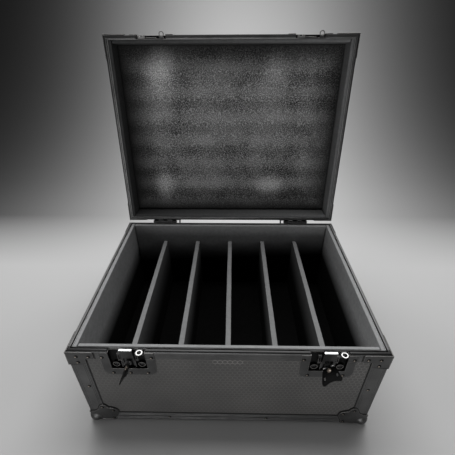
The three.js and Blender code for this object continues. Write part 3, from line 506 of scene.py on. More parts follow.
def dressed(node, finish, body="base", upper=None, **more):
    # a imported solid's own shape with its flat faces made whole and its edges rounded
    bm = bmesh.new()
    bm.from_mesh(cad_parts[node].data)
    bmesh.ops.remove_doubles(bm, verts=bm.verts, dist=1e-6)
    bmesh.ops.dissolve_limit(bm, angle_limit=math.radians(meshLook["flat"]), verts=bm.verts, edges=bm.edges)
    for face in bm.faces:
        # the second finish goes on what looks up above a height
        high = upper is not None and face.normal.z > aside and face.calc_center_median().z > upper * mm
        face.material_index = 1 if high else 0
    mesh = bpy.data.meshes.new(node + ".dressed")
    bm.to_mesh(mesh)
    bm.free()
    settings = {"bevel": 0.3, "smooth": 40, **more}
    return setOut(node + ".dressed", mesh, finish, body, (node,), place=still, **settings)


rivets = {"base": Form(), "lid": Form()}
rivetLook = {"steps": 18, "spotSteps": 12, "aside": 1.3, "spot": [(1.8, 0.8), (1.55, 1.2), (0.2, 1.35)],
             "profile": [(3.9, -0.4), (3.9, 0.15), (3.55, 0.5), (2.9, 0.95), (1.6, 1.15), (0.3, 1.2)]}


def rivet(half, plane, a, b, face, outward):
    form, look = rivets[half], rivetLook
    spotPlace = a - look["aside"]
    form.index = 0
    form.lathe(plane, a, b, [(r, face + outward * h) for r, h in look["profile"]], look["steps"])
    # the spot set off to one side of the head takes a painted highlight
    form.index = 1
    form.lathe(plane, spotPlace, b, [(r, face + outward * h) for r, h in look["spot"]], look["spotSteps"])


def inX(side, inset):
    return side * (case["halfWidth"] - inset)


def inY(end, inset):
    return end * (case["halfDepth"] - inset)


def frontY(inset):
    return inY(-1, inset)


# panels keep their solids and take the laminate
for node in ("floor_panel", "front_panel", "rear_panel", "left_panel", "right_panel", "lid_panel",
             "lid_walls"):
    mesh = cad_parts[node].data
    mesh.materials.clear()
    mesh.materials.append(finishes["lidLaminate" if node.startswith("lid") else "laminate"])
print("panels dressed")


# edging: rails round the outer faces, upright angles and the two rims
edging = {"leg": 34, "rail": 26, "band": 22, "skin": 1.5, "line": 0.5, "lineWidth": 1.2,
          "railLines": [4.0, 9.0, 17.0, 22.0], "edgeLines": [4.5, 8.0, 27.0, 30.5], "bevel": 0.35,
          "rimBevel": 0.25, "railRivets": [-137, 90], "railRivetIn": 10, "edgeRivet": (20.6, 130)}


def lined(start, end, lines):
    # points along one face of a section, with a shallow groove at each line
    made = []
    sign = 1 if end > start else -1
    half = edging["lineWidth"] / 2
    for line in sorted(lines, key=lambda v: sign * v):
        made += [(line - sign * half, 0), (line, edging["line"]), (line + sign * half, 0)]
    return made


def angleSection(leg, lines):
    # outline of an angle with grooves in both its outer faces
    skin = edging["skin"]
    first = [(0, 0)] + lined(0, leg, lines) + [(leg, 0), (leg, skin), (skin, skin), (skin, leg)]
    return first + [(u, d) for d, u in [(leg, 0)] + lined(leg, 0, lines)]


for half, run in halves.items():
    up, outer = run["up"], run["outer"]
    section = [(u, outer - up * d) for u, d in angleSection(edging["rail"], edging["railLines"])]
    standIn("base_bottom_rail" if half == "base" else "lid_top_rail", Form().ring(section), "aluminium", half,
            slotName="black_aluminium", bevel=edging["bevel"])
    for end in ends.values():
        for place in edging["railRivets"]:
            rivet(half, "front", place, outer - up * edging["railRivetIn"], inY(end, 0), end)

for endName, end in ends.items():
    for sideName, side in sides.items():
        outline = [(inX(side, u), inY(end, v)) for u, v in angleSection(edging["leg"], edging["edgeLines"])]
        form = Form().plate("level", outline, edging["rail"] + case["faceGap"],
                            case["rim"] - edging["band"] - case["faceGap"])
        standIn(f"{endName}_{sideName}_edge", form, "aluminium", slotName="black_aluminium",
                bevel=edging["bevel"])
        inset, height = edging["edgeRivet"]
        rivet("base", "front", inX(side, inset), height, inY(end, 0), end)
        rivet("base", "side", inY(end, inset), height, inX(side, 0), side)

# sections of the rims, as (inset, height over the rim), and the faces that have a finish of their own:
# painted highlights on the lips, tops and one rounded edge, and painted shade in the grooves and on the lid's
# outer shoulder
rims = {
    "base": [(0, -22), (0, -9), (0.35, -8.6), (0, -8.2), (0, -3.2), (0.5, -2.3), (2.1, -0.35), (2.9, 0),
             (6.5, 0), (6.8, -0.4), (6.8, -5.5), (9.6, -5.5), (9.6, -0.9), (9.8, -0.6), (10.3, -0.6),
             (10.5, -0.9), (10.5, -22), (9, -22), (9, -8), (1.5, -8), (1.5, -22)],
    "lid": [(0, 22), (0, 9), (0.35, 8.6), (0, 8.2), (0, 3.5), (0.5, 2.6), (2.1, 0.65), (2.9, 0.3), (7.1, 0.3),
            (7.1, -4.3), (7.3, -4.5), (8.1, -4.5), (8.3, -4.3), (8.3, 0.3), (10.2, 0.3), (10.5, 0.6),
            (10.5, 22), (9, 22), (9, 8), (1.5, 8), (1.5, 22)],
}
rimFinishes = ["aluminium", "lip", "brightLip", "rimTop", "deep", "edge"]
rimFaces = {
    "base": {"brightLip": [12, 13, 14], "rimTop": [5, 6, 7], "deep": [9, 10], "edge": [8]},
    "lid": {"lip": [10, 13, 14], "deep": [4, 5, 6, 8, 9, 11, 12]},
}
latchRoom = {"half": 38.3, "deep": 9.7, "reach": 22.3, "past": 9, "front": -4}
for half, section in rims.items():
    up = halves[half]["up"]
    cutters = []
    for side in sides.values():
        x, reach = side * case["latch"], latchRoom["half"]
        cutters.append(Form().box(x - reach, x + reach, frontY(latchRoom["front"]), frontY(latchRoom["deep"]),
                                  case["rim"] - up * latchRoom["past"],
                                  case["rim"] + up * latchRoom["reach"]))
    marks = [0] * len(section)
    for finish, faces in rimFaces[half].items():
        for i in faces:
            marks[i] = rimFinishes.index(finish)
    form = Form().ring([(u, case["rim"] + h) for u, h in section], marks)
    standIn(half + "_rim", form, rimFinishes, half, slotName="black_aluminium", bevel=edging["rimBevel"],
            cutters=cutters)
print("edging made")


# ball corners and braces
corner = {"leg": 64, "base": 59, "lid": 45, "ball": 15.9, "inset": 8, "bare": 6.5, "bevel": 0.5,
          "flare": 9, "border": 2.2, "borderOut": 0.26, "borderDeep": 1.78, "tail": 0.56, "cut": 0.87,
          "steps": 22, "rows": 7, "lift": 0.6, "ballRows": 18, "ballSteps": 36,
          # outlines of the plates on the walls and on the level face, as shares of their reach
          "wall": [(0.1, 0.56), (0.2, 0.58), (0.33, 0.7), (0.4, 0.93), (0.5, 1.02), (0.62, 0.94),
                   (0.69, 0.79), (0.82, 0.78), (0.95, 0.7), (1.02, 0.56), (0.99, 0.38), (0.87, 0.16)],
          "wallRivets": [(0.5, 0.84), (0.86, 0.62), (0.79, 0.09)], "levelRivets": [(0.85, 0.3), (0.3, 0.85)],
          "level": [(0.99, 0.16), (1.01, 0.3), (0.94, 0.42), (0.8, 0.48), (0.66, 0.5), (0.56, 0.56),
                    (0.5, 0.66), (0.48, 0.8), (0.42, 0.94), (0.3, 1.01), (0.16, 0.99)]}
brace = {"reach": 53.5, "top": 2.8, "band": 24, "bevel": 0.45, "radii": [0, 2.5, 2.5, 1.5, 4, 0],
         "base": {"leg": 35, "drop": 41, "rivets": [(19, 15.8), (43.7, 15.8), (19, 33.5)]},
         "lid": {"leg": 13, "drop": 46, "rivets": [(22, 15.8), (43.7, 15.8), (6.5, 33.5)]}}
faceOut = case["faceGap"] + case["plate"]


def grown(outline, amount, least):
    # an outline moved outwards by an amount, but kept inside a limit
    points = [Vector(p) for p in outline]
    count = len(points)
    turn = sum(points[i - 1].cross(points[i]) for i in range(count))
    made = []
    for i, here in enumerate(points):
        run = (here - points[i - 1]).normalized() + (points[(i + 1) % count] - here).normalized()
        out = Vector((run.y, -run.x)).normalized() * math.copysign(amount, turn)
        made.append(tuple(max(v, least) for v in here + out))
    return made


def flare(form, toWorld):
    # the hollow curve between a plate and the ball, round to the plates beside it
    steps, rows, inset = corner["steps"], corner["rows"], corner["inset"]
    ball, ease = corner["ball"], corner["flare"]
    rise = faceOut + ease
    across = math.sqrt((ball + ease) ** 2 - (inset + rise) ** 2)
    full = math.atan2(across, inset + rise)
    section = [(across - ease * math.sin(full * k / rows), rise - ease * math.cos(full * k / rows))
               for k in range(rows + 1)]
    inner = section[-1][0] - corner["lift"]
    floor = faceOut - case["faceGap"]
    section += [(inner, section[-1][1] - 1), (inner, floor), (across, floor)]
    loops = []
    for k in range(steps + 1):
        loop = []
        for r, h in section:
            past = math.asin(min(1.0, (inset + faceOut) / r))
            t = -past + (math.pi / 2 + 2 * past) * k / steps
            loop.append(toWorld(inset + r * math.cos(t), inset + r * math.sin(t), h))
        loops.append(loop)
    form.loft(loops)


def ballCorner(half, side, end, name):
    up, outer = halves[half]["up"], halves[half]["outer"]
    x, y, z = (lambda u: inX(side, u)), (lambda u: inY(end, u)), (lambda u: outer - up * u)
    lobe, leg, gap, bare = corner[half], corner["leg"], case["faceGap"], corner["bare"]
    tail, cut = corner["tail"] * lobe, corner["cut"] * leg
    # the tip is left to the ball, so the plates start beside it
    wall = [(bare, -faceOut), (bare, bare), (-faceOut, bare), (-faceOut, tail)]
    wall += [(u * leg, w * lobe) for u, w in corner["wall"]] + [(cut, -faceOut)]
    wall = softened(wall, {0, 1, 2, 3, len(wall) - 1})
    level = [(bare, bare), (bare, -faceOut), (cut, -faceOut)]
    level += [(u * leg, v * leg) for u, v in corner["level"]] + [(-faceOut, cut), (-faceOut, bare)]
    level = softened(level, {0, 1, 2, len(level) - 2, len(level) - 1})

    def plates(walls, levels, near, far):
        form = Form()
        form.plate("front", [(x(u), z(w)) for u, w in walls], y(near), y(far))
        form.plate("side", [(y(u), z(w)) for u, w in walls], x(near), x(far))
        return form.plate("level", [(x(u), y(v)) for u, v in levels], z(near), z(far))

    addPiece(name + ".plates", plates(wall, level, -gap, -faceOut), "steel", half, replaces=(name,),
             bevel=corner["bevel"], worn="edge")
    # a black layer under the plates, wider than them: a gasket, and painted shade round the plates
    out, deep = corner["borderOut"], corner["borderDeep"]
    wider = [grown(outline, corner["border"], -out) for outline in (wall, level)]
    addPiece(name + ".border", plates(*wider, -out, deep), "gasket", half, bevel=0)
    flares = Form()
    flare(flares, lambda u, v, h: (x(u), y(-h), z(v)))
    flare(flares, lambda u, v, h: (x(-h), y(u), z(v)))
    flare(flares, lambda u, v, h: (x(u), y(v), z(-h)))
    addPiece(name + ".flares", flares, "steel", half, bevel=0, smooth=50)
    rows, radius, inset = corner["ballRows"], corner["ball"], corner["inset"]
    arc = [math.pi * k / rows for k in range(rows + 1)]
    profile = [(radius * max(math.sin(t), 0.004), z(inset) + radius * math.cos(t)) for t in arc]
    ball = Form().lathe("level", x(inset), y(inset), profile, corner["ballSteps"])
    under = Form().box(x(-gap), x(leg), y(-gap), y(leg), z(-gap), z(leg))
    addPiece(name + ".ball", ball, "steel", half, bevel=0, cutters=[under])
    for u, w in corner["wallRivets"]:
        rivet(half, "front", x(u * leg), z(w * lobe), y(-faceOut), end)
        rivet(half, "side", y(u * leg), z(w * lobe), x(-faceOut), side)
    for u, v in corner["levelRivets"]:
        rivet(half, "level", x(u * leg), y(v * leg), z(-faceOut), up)


def cornerBrace(half, side, end, name):
    look, up, gap = brace[half], halves[half]["up"], case["faceGap"]
    outline = [(-faceOut, brace["top"]), (brace["reach"], brace["top"]), (brace["reach"], brace["band"]),
               (look["leg"], brace["band"]), (look["leg"], look["drop"]), (-faceOut, look["drop"])]
    outline = [(u, case["rim"] + up * d) for u, d in filleted(outline, brace["radii"])]
    form = Form()
    form.plate("front", [(inX(side, u), z) for u, z in outline], inY(end, -gap), inY(end, -faceOut))
    form.plate("side", [(inY(end, u), z) for u, z in outline], inX(side, -gap), inX(side, -faceOut))
    standIn(name, form, "steel", half, bevel=brace["bevel"], worn="edge")
    for u, d in look["rivets"]:
        height = case["rim"] + up * d
        rivet(half, "front", inX(side, u), height, inY(end, -faceOut), end)
        rivet(half, "side", inY(end, u), height, inX(side, -faceOut), side)


for half in halves:
    for sideName, side in sides.items():
        for endName, end in ends.items():
            ballCorner(half, side, end, f"{half}_{endName}_{sideName}_ball_corner")
            cornerBrace(half, side, end, f"{half}_{endName}_{sideName}_brace")
print("corners made")


# black strips where the panels meet the edging, and at the braces' inner ends: painted shade for the shadows
# in these gaps
seam = {"face": 1.9, "out": 1.0, "width": 1.3, "tooth": 1.1, "pitch": 5.2, "braceGap": 0.3, "braceWidth": 2.4,
        "braceTop": 3.4, "braceLow": 23.5, "braceOut": 0.25}


def toothed(start, end, base, way):
    # a strip along a line, with teeth on its far side
    count = round((end - start) / seam["pitch"])
    step = (end - start) / count
    far = [(start + (k / 2) * step, base + way * (seam["width"] + seam["tooth"] * (k % 2)))
           for k in range(2 * count + 1)]
    return [(start, base)] + far + [(end, base)]


def swapped(outline):
    return [(b, a) for a, b in outline]


for half, form in {"base": Form(), "lid": Form()}.items():
    up, outer = halves[half]["up"], halves[half]["outer"]
    levels = sorted((case["rim"] + up * edging["band"], outer - up * edging["rail"]))
    for plane, way, reach, other in (("front", inY, case["halfWidth"], ends),
                                     ("side", inX, case["halfDepth"], sides)):
        span = reach - edging["leg"]
        for hand in other.values():
            face, out = way(hand, seam["face"]), way(hand, seam["out"])
            form.plate(plane, toothed(-span, span, outer - up * edging["rail"], -up), face, out)
            if half == "base":
                for side in (-1, 1):
                    form.plate(plane, swapped(toothed(levels[0], levels[1], side * span, -side)), face, out)
            for side in (-1, 1):
                start = reach - brace["reach"] - seam["braceGap"]
                a0, a1 = sorted((side * start, side * (start - seam["braceWidth"])))
                low, high = sorted((case["rim"] + up * seam["braceTop"], case["rim"] + up * seam["braceLow"]))
                form.plate(plane, [(a0, low), (a1, low), (a1, high), (a0, high)], way(hand, seam["face"]),
                           way(hand, -seam["braceOut"]))
    addPiece(half + "_shadow_seams", form, "gasket", half, bevel=0)
print("seams made")


# foam
foam = {"outer": 10.8, "inner": 18.3, "low": 9.05, "top": 247.5, "floorTop": 19.05, "lidLow": 248.5,
        "lidHigh": 313.95, "wave": 0.7, "waveLength": 90, "wallWave": 0.5, "round": 1.4, "joint": 2.2,
        "shift": 1.4, "slice": 30, "floorPlay": 0.6, "floorRound": 1.2, "seed": 11}
divider = {"thick": 12, "count": 5, "top": 196, "corner": 14, "cornerSteps": 6, "under": 0.4, "play": 0.8,
           "slice": 24, "held": 19, "free": 60}
pad = {"thick": 18, "crown": 3, "ripple": 1.2, "pitch": 64.75, "shift": 11.5, "edge": 30, "columns": 96,
       "rows": 76, "play": 0.4, "round": 1.5, "smooth": 60, "fill": 0.8, "sway": (0.5, 120),
       "rough": (0.25, 9, 7)}
# without a seed, noise_vector takes its offsets from the clock
noise.seed_set(foam["seed"])


def wavy(form, keep):
    # slow unevenness of cut foam; keep gives the share of it at a point
    for vert in form.bm.verts:
        vert.co += noise.noise_vector(vert.co / foam["waveLength"]) * foam["wave"] * keep(vert.co)
    return form


def sliced(form, step):
    # cuts long faces across, so that they can bend
    low = Vector((min(v.co[i] for v in form.bm.verts) for i in range(3)))
    high = Vector((max(v.co[i] for v in form.bm.verts) for i in range(3)))
    for axis in range(3):
        normal = Vector((axis == 0, axis == 1, axis == 2))
        count = int((high[axis] - low[axis]) / step)
        for k in range(1, count + 1):
            where = low + (high - low) * (k / (count + 1))
            geometry = form.bm.verts[:] + form.bm.edges[:] + form.bm.faces[:]
            bmesh.ops.bisect_plane(form.bm, geom=geometry, plane_co=where, plane_no=normal)
    return form


def foamPiece(name, node, form, finish, slotName, body, bevel, smooth=38):
    piece = addPiece(name, form, finish, body, replaces=(node,), slotName=slotName, bevel=bevel, segments=3,
                     smooth=smooth)


def foamLiner(name, low, high, half, finish, shift=0.0):
    # four strips; the front and rear ones stand between the other two
    reachX, reachY = case["halfWidth"] - foam["outer"], case["halfDepth"] - foam["outer"]
    thick = foam["inner"] - foam["outer"]
    between = reachX - thick - foam["joint"]
    spans = {"left": (-reachX, -reachX + thick, -reachY, reachY),
             "right": (reachX - thick, reachX, -reachY, reachY),
             "front": (-between, between, -reachY + shift, -reachY + thick + shift),
             "rear": (-between, between, reachY - thick - shift, reachY - shift)}
    for place, span in spans.items():
        strip = wavy(sliced(Form().box(*span, low, high), foam["slice"]), lambda p: foam["wallWave"])
        foamPiece(f"{name}.{place}", name, strip, finish, "foam_grey", half, foam["round"])


foamLiner("base_wall_foam", foam["low"], foam["top"], "base", "foam", foam["shift"])
foamLiner("lid_wall_foam", foam["lidLow"], foam["lidHigh"], "lid", "lidFoam")

clearX, clearY = case["halfWidth"] - foam["inner"], case["halfDepth"] - foam["inner"]
floorX, floorY = clearX - foam["floorPlay"], clearY - foam["floorPlay"]
floorFoam = Form().box(-floorX, floorX, -floorY, floorY, foam["low"], foam["floorTop"])
foamPiece("base_floor_foam.foam", "base_floor_foam", floorFoam, "darkFoam", "foam_dark", "base",
          foam["floorRound"])

bay = (2 * clearX - divider["count"] * divider["thick"]) / (divider["count"] + 1)
for k in range(divider["count"]):
    start = -clearX + (k + 1) * bay + k * divider["thick"]
    low, high = foam["floorTop"] + divider["under"], divider["top"]
    reach = clearY - divider["play"] - foam["shift"]
    outline = filleted([(-reach, low), (reach, low), (reach, high), (-reach, high)],
                       [0, 0, divider["corner"], divider["corner"]], divider["cornerSteps"])
    form = sliced(Form().plate("side", outline, start, start + divider["thick"]), divider["slice"])
    wavy(form, lambda p: min(1.0, (p.z - divider["held"]) / divider["free"]))
    node = f"divider_{k + 1}"
    foamPiece(node + ".foam", node, form, "dividerFoam", "foam_grey", "base", foam["round"])


def lidPad():
    # a flat back, and a crowned front with ripples that draws in at its edges
    columns, rows, top = pad["columns"], pad["rows"], foam["lidHigh"]
    halfX, halfY = clearX - pad["play"], clearY - pad["play"]
    sway, swayLength = pad["sway"]
    rough, roughLength, roughLevel = pad["rough"]
    form = Form()
    sheets = [[], []]
    for front, sheet in enumerate(sheets):
        for j in range(rows + 1):
            row = []
            for i in range(columns + 1):
                x, y, z = halfX * (2 * i / columns - 1), halfY * (2 * j / rows - 1), top
                if front:
                    full = min(min(halfX - abs(x), halfY - abs(y)) / pad["edge"], 1.0)
                    full = full * full * (3 - 2 * full)
                    bent = sway * noise.noise(Vector((x, y, 0)) / swayLength)
                    ripple = math.cos(2 * math.pi * (y - pad["shift"]) / pad["pitch"] + bent)
                    grit = rough * noise.noise(Vector((x, y, roughLevel)) / roughLength)
                    z = top - pad["thick"] - full * (pad["crown"] + pad["ripple"] * ripple + grit)
                row.append(form.bm.verts.new((x, y, z)))
            sheet.append(row)
    borders = []
    for sheet in sheets:
        for j in range(rows):
            for i in range(columns):
                form.bm.faces.new((sheet[j][i], sheet[j][i + 1], sheet[j + 1][i + 1], sheet[j + 1][i]))
        borders.append(sheet[0][:-1] + [row[-1] for row in sheet[:-1]] + sheet[-1][:0:-1]
                       + [row[0] for row in sheet[:0:-1]])
    back, face = borders
    for i in range(len(back)):
        j = (i + 1) % len(back)
        form.bm.faces.new((back[i], back[j], face[j], face[i]))
    return form


foamPiece("lid_foam_pad.foam", "lid_foam_pad", lidPad(), "padFoam", "foam_dark", "lid", pad["round"],
          pad["smooth"])
print("foam made")


# latches
dish = {"half": 55, "sheet": 1.2, "pocket": 38, "deep": 8.2, "shade": 3, "top": 3.5, "step": 22.3,
        "bevel": 0.3, "near": 0.25, "out": -0.3, "cornerSteps": 8, "bandCorner": 2, "bandRivet": (49.5, 17),
        "pitch": 36, "lugs": (12.8, 14.6, 28, 50), "lugFront": 1.5,
        "base": {"reach": 74.6, "pocket": 54.5, "corner": 18, "rivets": 68},
        "lid": {"reach": 36, "pocket": 22, "corner": 8, "rivets": 29.4}}


def latchBox(form, half, centre, across, inward, away):
    # a box from its spans along the front, into the case and away from the rim
    up = halves[half]["up"]
    form.box(*(centre + a for a in across), *(frontY(u) for u in inward),
             *(case["rim"] + up * d for d in away))


def dishForm(half, centre):
    look, up, sheet = dish[half], halves[half]["up"], dish["sheet"]
    y, z = frontY, lambda d: case["rim"] + up * d
    wide, inner, deep = dish["half"], dish["pocket"] - sheet, dish["deep"]
    step, top = dish["step"], dish["top"]
    near, out = dish["near"], dish["out"]
    reach, low, radius = look["reach"], look["pocket"], look["corner"]
    form = Form()
    outline = filleted([(-wide, step), (-wide, reach), (wide, reach), (wide, step)], [0, radius, radius, 0],
                       dish["cornerSteps"])
    if low - sheet > step:
        outline += [(inner, step), (inner, low - sheet), (-inner, low - sheet), (-inner, step)]
    form.plate("front", [(centre + a, z(d)) for a, d in outline], y(near), y(near + sheet))
    for hand in (-1, 1):
        band = filleted([(hand * inner, top), (hand * wide, top), (hand * wide, step + sheet),
                         (hand * inner, step + sheet)], [0, dish["bandCorner"], 0, 0])
        form.plate("front", [(centre + a, z(d)) for a, d in band], y(out), y(out - sheet))
        latchBox(form, half, centre, (hand * inner, hand * wide), (out - sheet, near + sheet),
                 (step, step + sheet))
        latchBox(form, half, centre, (hand * inner, hand * dish["pocket"]), (out, deep + sheet), (top, low))
    latchBox(form, half, centre, (-inner, inner), (deep, deep + sheet), (top, low))
    latchBox(form, half, centre, (-inner, inner), (out, deep + sheet), (low - sheet, low))
    return form


def latchDish(half, centre, name, form):
    # the dish with painted shade on its deep faces, and its rivets
    mesh = form.mesh(name)
    for face in mesh.polygons:
        face.material_index = int(face.center.y > frontY(dish["shade"]) * mm)
    setOut(name + ".dressed", mesh, ["steel", "deep"], half, (name,), bevel=dish["bevel"], worn="edge")
    wide, upper = dish["bandRivet"]
    places = [(hand * wide, upper, dish["out"] - dish["sheet"]) for hand in (-1, 1)]
    places += [(hand * dish["pitch"], dish[half]["rivets"], dish["near"]) for hand in (-1, 0, 1)]
    for a, d, face in places:
        rivet(half, "front", centre + a, case["rim"] + halves[half]["up"] * d, frontY(face), -1)


# the lid's eye takes a darker copy of the nickel, as painted shade
eye = {"place": 27, "radius": {"base": 7.0, "lid": 6.5}, "hole": 4.2, "out": 1.6, "sheet": 2, "sink": 0.4,
       "strap": 5, "strapReach": 20, "strapThick": 1.8, "lap": 1.2, "ease": 0.35, "steps": 32, "bevel": 0.25,
       "finish": {"base": "nickel", "lid": "dullNickel"}}


def padlockEye(name, half, centre):
    up = halves[half]["up"]
    x, y = centre + eye["place"], frontY(-eye["out"])
    z = lambda d: case["rim"] + up * d
    r, hole, ease = eye["radius"][half], eye["hole"], eye["ease"]
    low, high = z(eye["sink"]), z(eye["sink"] + eye["sheet"])
    section = [(hole, low + ease * up), (hole + ease, low), (r - ease, low), (r, low + ease * up),
               (r, high - ease * up), (r - ease, high), (hole + ease, high), (hole, high - ease * up)]
    angles = [2 * math.pi * k / eye["steps"] for k in range(eye["steps"])]
    form = Form().loft([[(x + q * math.cos(t), y + q * math.sin(t), h) for q, h in section] for t in angles],
                       closed=True)
    form.index = 1
    back, strap = frontY(dish["deep"]), eye["strap"]
    form.box(x - strap, x + strap, y + r - eye["lap"], back, low, high)
    form.box(x - strap, x + strap, back - eye["strapThick"], back, low, z(eye["strapReach"]))
    addPiece(name, form, [eye["finish"][half], "steel"], half, slotName="chrome", bevel=eye["bevel"])


bracket = {"near": 14.9, "far": 20.4, "top": 10, "low": 32, "out": 2.6, "back": 4.0, "bar": 1.4, "end": 4.5,
           "bevel": 0.25}


def latchGuides(name, centre):
    # slotted guides beside the hook, each a frame on two feet
    near, far, bar, end = bracket["near"], bracket["far"], bracket["bar"], bracket["end"]
    top, low, back = bracket["top"], bracket["low"], bracket["back"]
    form = Form()
    for hand in (-1, 1):
        for a0, a1, d0, d1 in [(near, near + bar, top, low), (far - bar, far, top, low),
                               (near + bar, far - bar, top, top + end),
                               (near + bar, far - bar, low - end, low)]:
            latchBox(form, "base", centre, (hand * a0, hand * a1), (bracket["out"], back), (d0, d1))
        for d in (top, low - bar):
            latchBox(form, "base", centre, (hand * near, hand * far), (back, dish["deep"]), (d, d + bar))
    addPiece(name, form, "steel", bevel=bracket["bevel"], worn="edge")


# bolt heads: black, with a thin ring that takes the painted highlight
bolt = {"place": (26, 42.5), "out": 2.0, "steps": 28, "foot": (7.2, 0.2),
        "finish": [0, 1, 1, 1, 0, 0, 0, 2, 2, 0, 0, 0],
        "profile": [(7.2, 0.4), (6.9, 0), (6.1, 0), (5.8, 0.5), (5.6, 3.2), (3.6, 3.3), (3.4, 1.2),
                    (2.9, 0.9), (1.8, 0.9), (1.5, 1.8), (0.3, 1.9)]}


def latchBolts(name, centre):
    form = Form()
    radius, sink = bolt["foot"]
    profile = [(radius, frontY(dish["deep"]) + sink)]
    profile += [(r, frontY(bolt["out"]) + h) for r, h in bolt["profile"]]
    for hand in (-1, 1):
        form.lathe("front", centre + hand * bolt["place"][0], case["rim"] - bolt["place"][1], profile,
                   bolt["steps"], bolt["finish"])
    addPiece(name, form, ["rivet", "edge", "steel"], slotName="pin_steel", bevel=0)


keeper = {"half": 13.5, "out": 5.6, "low": 0.7, "high": 3, "top": 12, "front": 0.2, "sink": 0.4, "bevel": 0.3,
          "guide": (-33, -15), "guideTop": 14, "guideOut": 0.8,
          "wave": [(0, 0.8), (4, 0.8), (5.5, 3.6), (8, 5.0), (10.5, 3.6), (12, 0.8)]}


def lidKeeper(sideName, centre):
    # the lip that the hook takes, and beside it a bent plate that guides the hook
    rim, half, deep = case["rim"], keeper["half"], dish["deep"]
    back = deep + keeper["sink"]
    form = Form()
    latchBox(form, "lid", centre, (-half, half), (keeper["out"], back), (keeper["low"], keeper["high"]))
    latchBox(form, "lid", centre, (-half, half), (deep - keeper["front"], back),
             (keeper["low"], keeper["top"]))
    addPiece(f"{sideName}_keeper", form, "steel", "lid", bevel=keeper["bevel"], worn="edge")
    left, right = (centre + a for a in keeper["guide"])
    wave = [(left + a, u) for a, u in keeper["wave"]]
    wave += [(right, keeper["guideOut"]), (right, back), (left, back)]
    form = Form().plate("level", [(a, frontY(u)) for a, u in wave], rim + keeper["low"], rim + keeper["high"])
    form.index = 1
    latchBox(form, "lid", centre, keeper["guide"], (deep - keeper["sink"], back),
             (keeper["low"], keeper["guideTop"]))
    addPiece(f"{sideName}_guide", form, ["nickel", "steel"], "lid", slotName="chrome", bevel=keeper["bevel"])


# the wing stands out from the case at its latch's turn, on a pin with a domed stud
turns = {"left": 122, "right": 145}
stud = {"reach": 8.88, "out": 4, "steps": 26, "pin": (11.5, 1.3), "pinEase": 0.4, "pinSteps": 16,
        "profile": [(4.7, 0), (4.7, 1.6), (4.2, 2.2), (3.2, 2.5), (2.9, 2.2), (2.4, 2.3), (1.2, 2.8),
                    (0.2, 3.0)]}


def wingStud(sideName, centre):
    angle, out = math.radians(turns[sideName]), case["halfDepth"] + stud["out"]
    normal = Vector((-math.sin(angle), 0, -math.cos(angle)))
    along = Vector((-math.cos(angle), 0, math.sin(angle)))
    (reach, radius), ease = stud["pin"], stud["pinEase"]
    pin = [(radius - ease, -reach), (radius, ease - reach), (radius, reach - ease), (radius - ease, reach)]
    for name, finish, slotName, profile, steps, past, way in (
            ("pin", "nickel", "pin_steel", pin, stud["pinSteps"], 0, along),
            ("stud", "brass", "black_steel", stud["profile"], stud["steps"], stud["reach"], normal)):
        where = Vector((centre, -out - past, case["rim"] - case["spindleDrop"])) * mm
        addPiece(f"{sideName}_wing_{name}", Form().lathe("level", 0, 0, profile, steps), finish,
                 f"{sideName}_wing", slotName=slotName, bevel=0,
                 place=Matrix.Translation(where) @ way.to_track_quat("Z", "Y").to_matrix().to_4x4())


for sideName, side in sides.items():
    centre = side * case["latch"]
    form = dishForm("base", centre)
    inner, outer, high, low = dish["lugs"]
    for hand in (-1, 1):
        latchBox(form, "base", centre, (hand * inner, hand * outer), (dish["lugFront"], dish["deep"]),
                 (high, low))
    latchDish("base", centre, f"{sideName}_latch_base_dish", form)
    latchGuides(f"{sideName}_latch_guides", centre)
    latchBolts(f"{sideName}_latch_bolts", centre)
    for half in halves:
        padlockEye(f"{sideName}_{half}_eye", half, centre)
    latchDish("lid", centre, f"{sideName}_latch_lid_dish", dishForm("lid", centre))
    lidKeeper(sideName, centre)
    dressed(f"{sideName}_latch_spindle", "steel", f"{sideName}_spindle")
    dressed(f"{sideName}_latch_wing", "wing", f"{sideName}_wing", bevel=0.25, worn="wingEdge")
    dressed(f"{sideName}_latch_hook", ["steel", "chrome"], f"{sideName}_hook", 246, slotName="chrome")
    wingStud(sideName, centre)
print("latches made")


# hinges and handles
hinge = {"rivets": (-27, 0, 27), "height": 30, "out": 2.3, "pinBevel": 0.2}
handle = {"depth": 3.4, "pivot": 158, "drop": 46, "half": 50, "over": 3, "bend": 7, "bendSteps": 6, "bar": 3,
          "barSteps": 18, "barBevel": 0.3, "stub": 2, "stubIn": 1, "stubOut": 10.3, "stubSteps": 16,
          "dishBevel": 0.35, "rivets": (70, 132, 44, 0.25), "grip": 4.4, "gripHalf": 40, "gripSteps": 22,
          "ribs": 20, "ribDeep": 0.35}


def ribbed(t):
    # radius of the grip at a share of its length
    return handle["grip"] - handle["ribDeep"] * (0.5 + 0.5 * math.cos(2 * math.pi * handle["ribs"] * t))


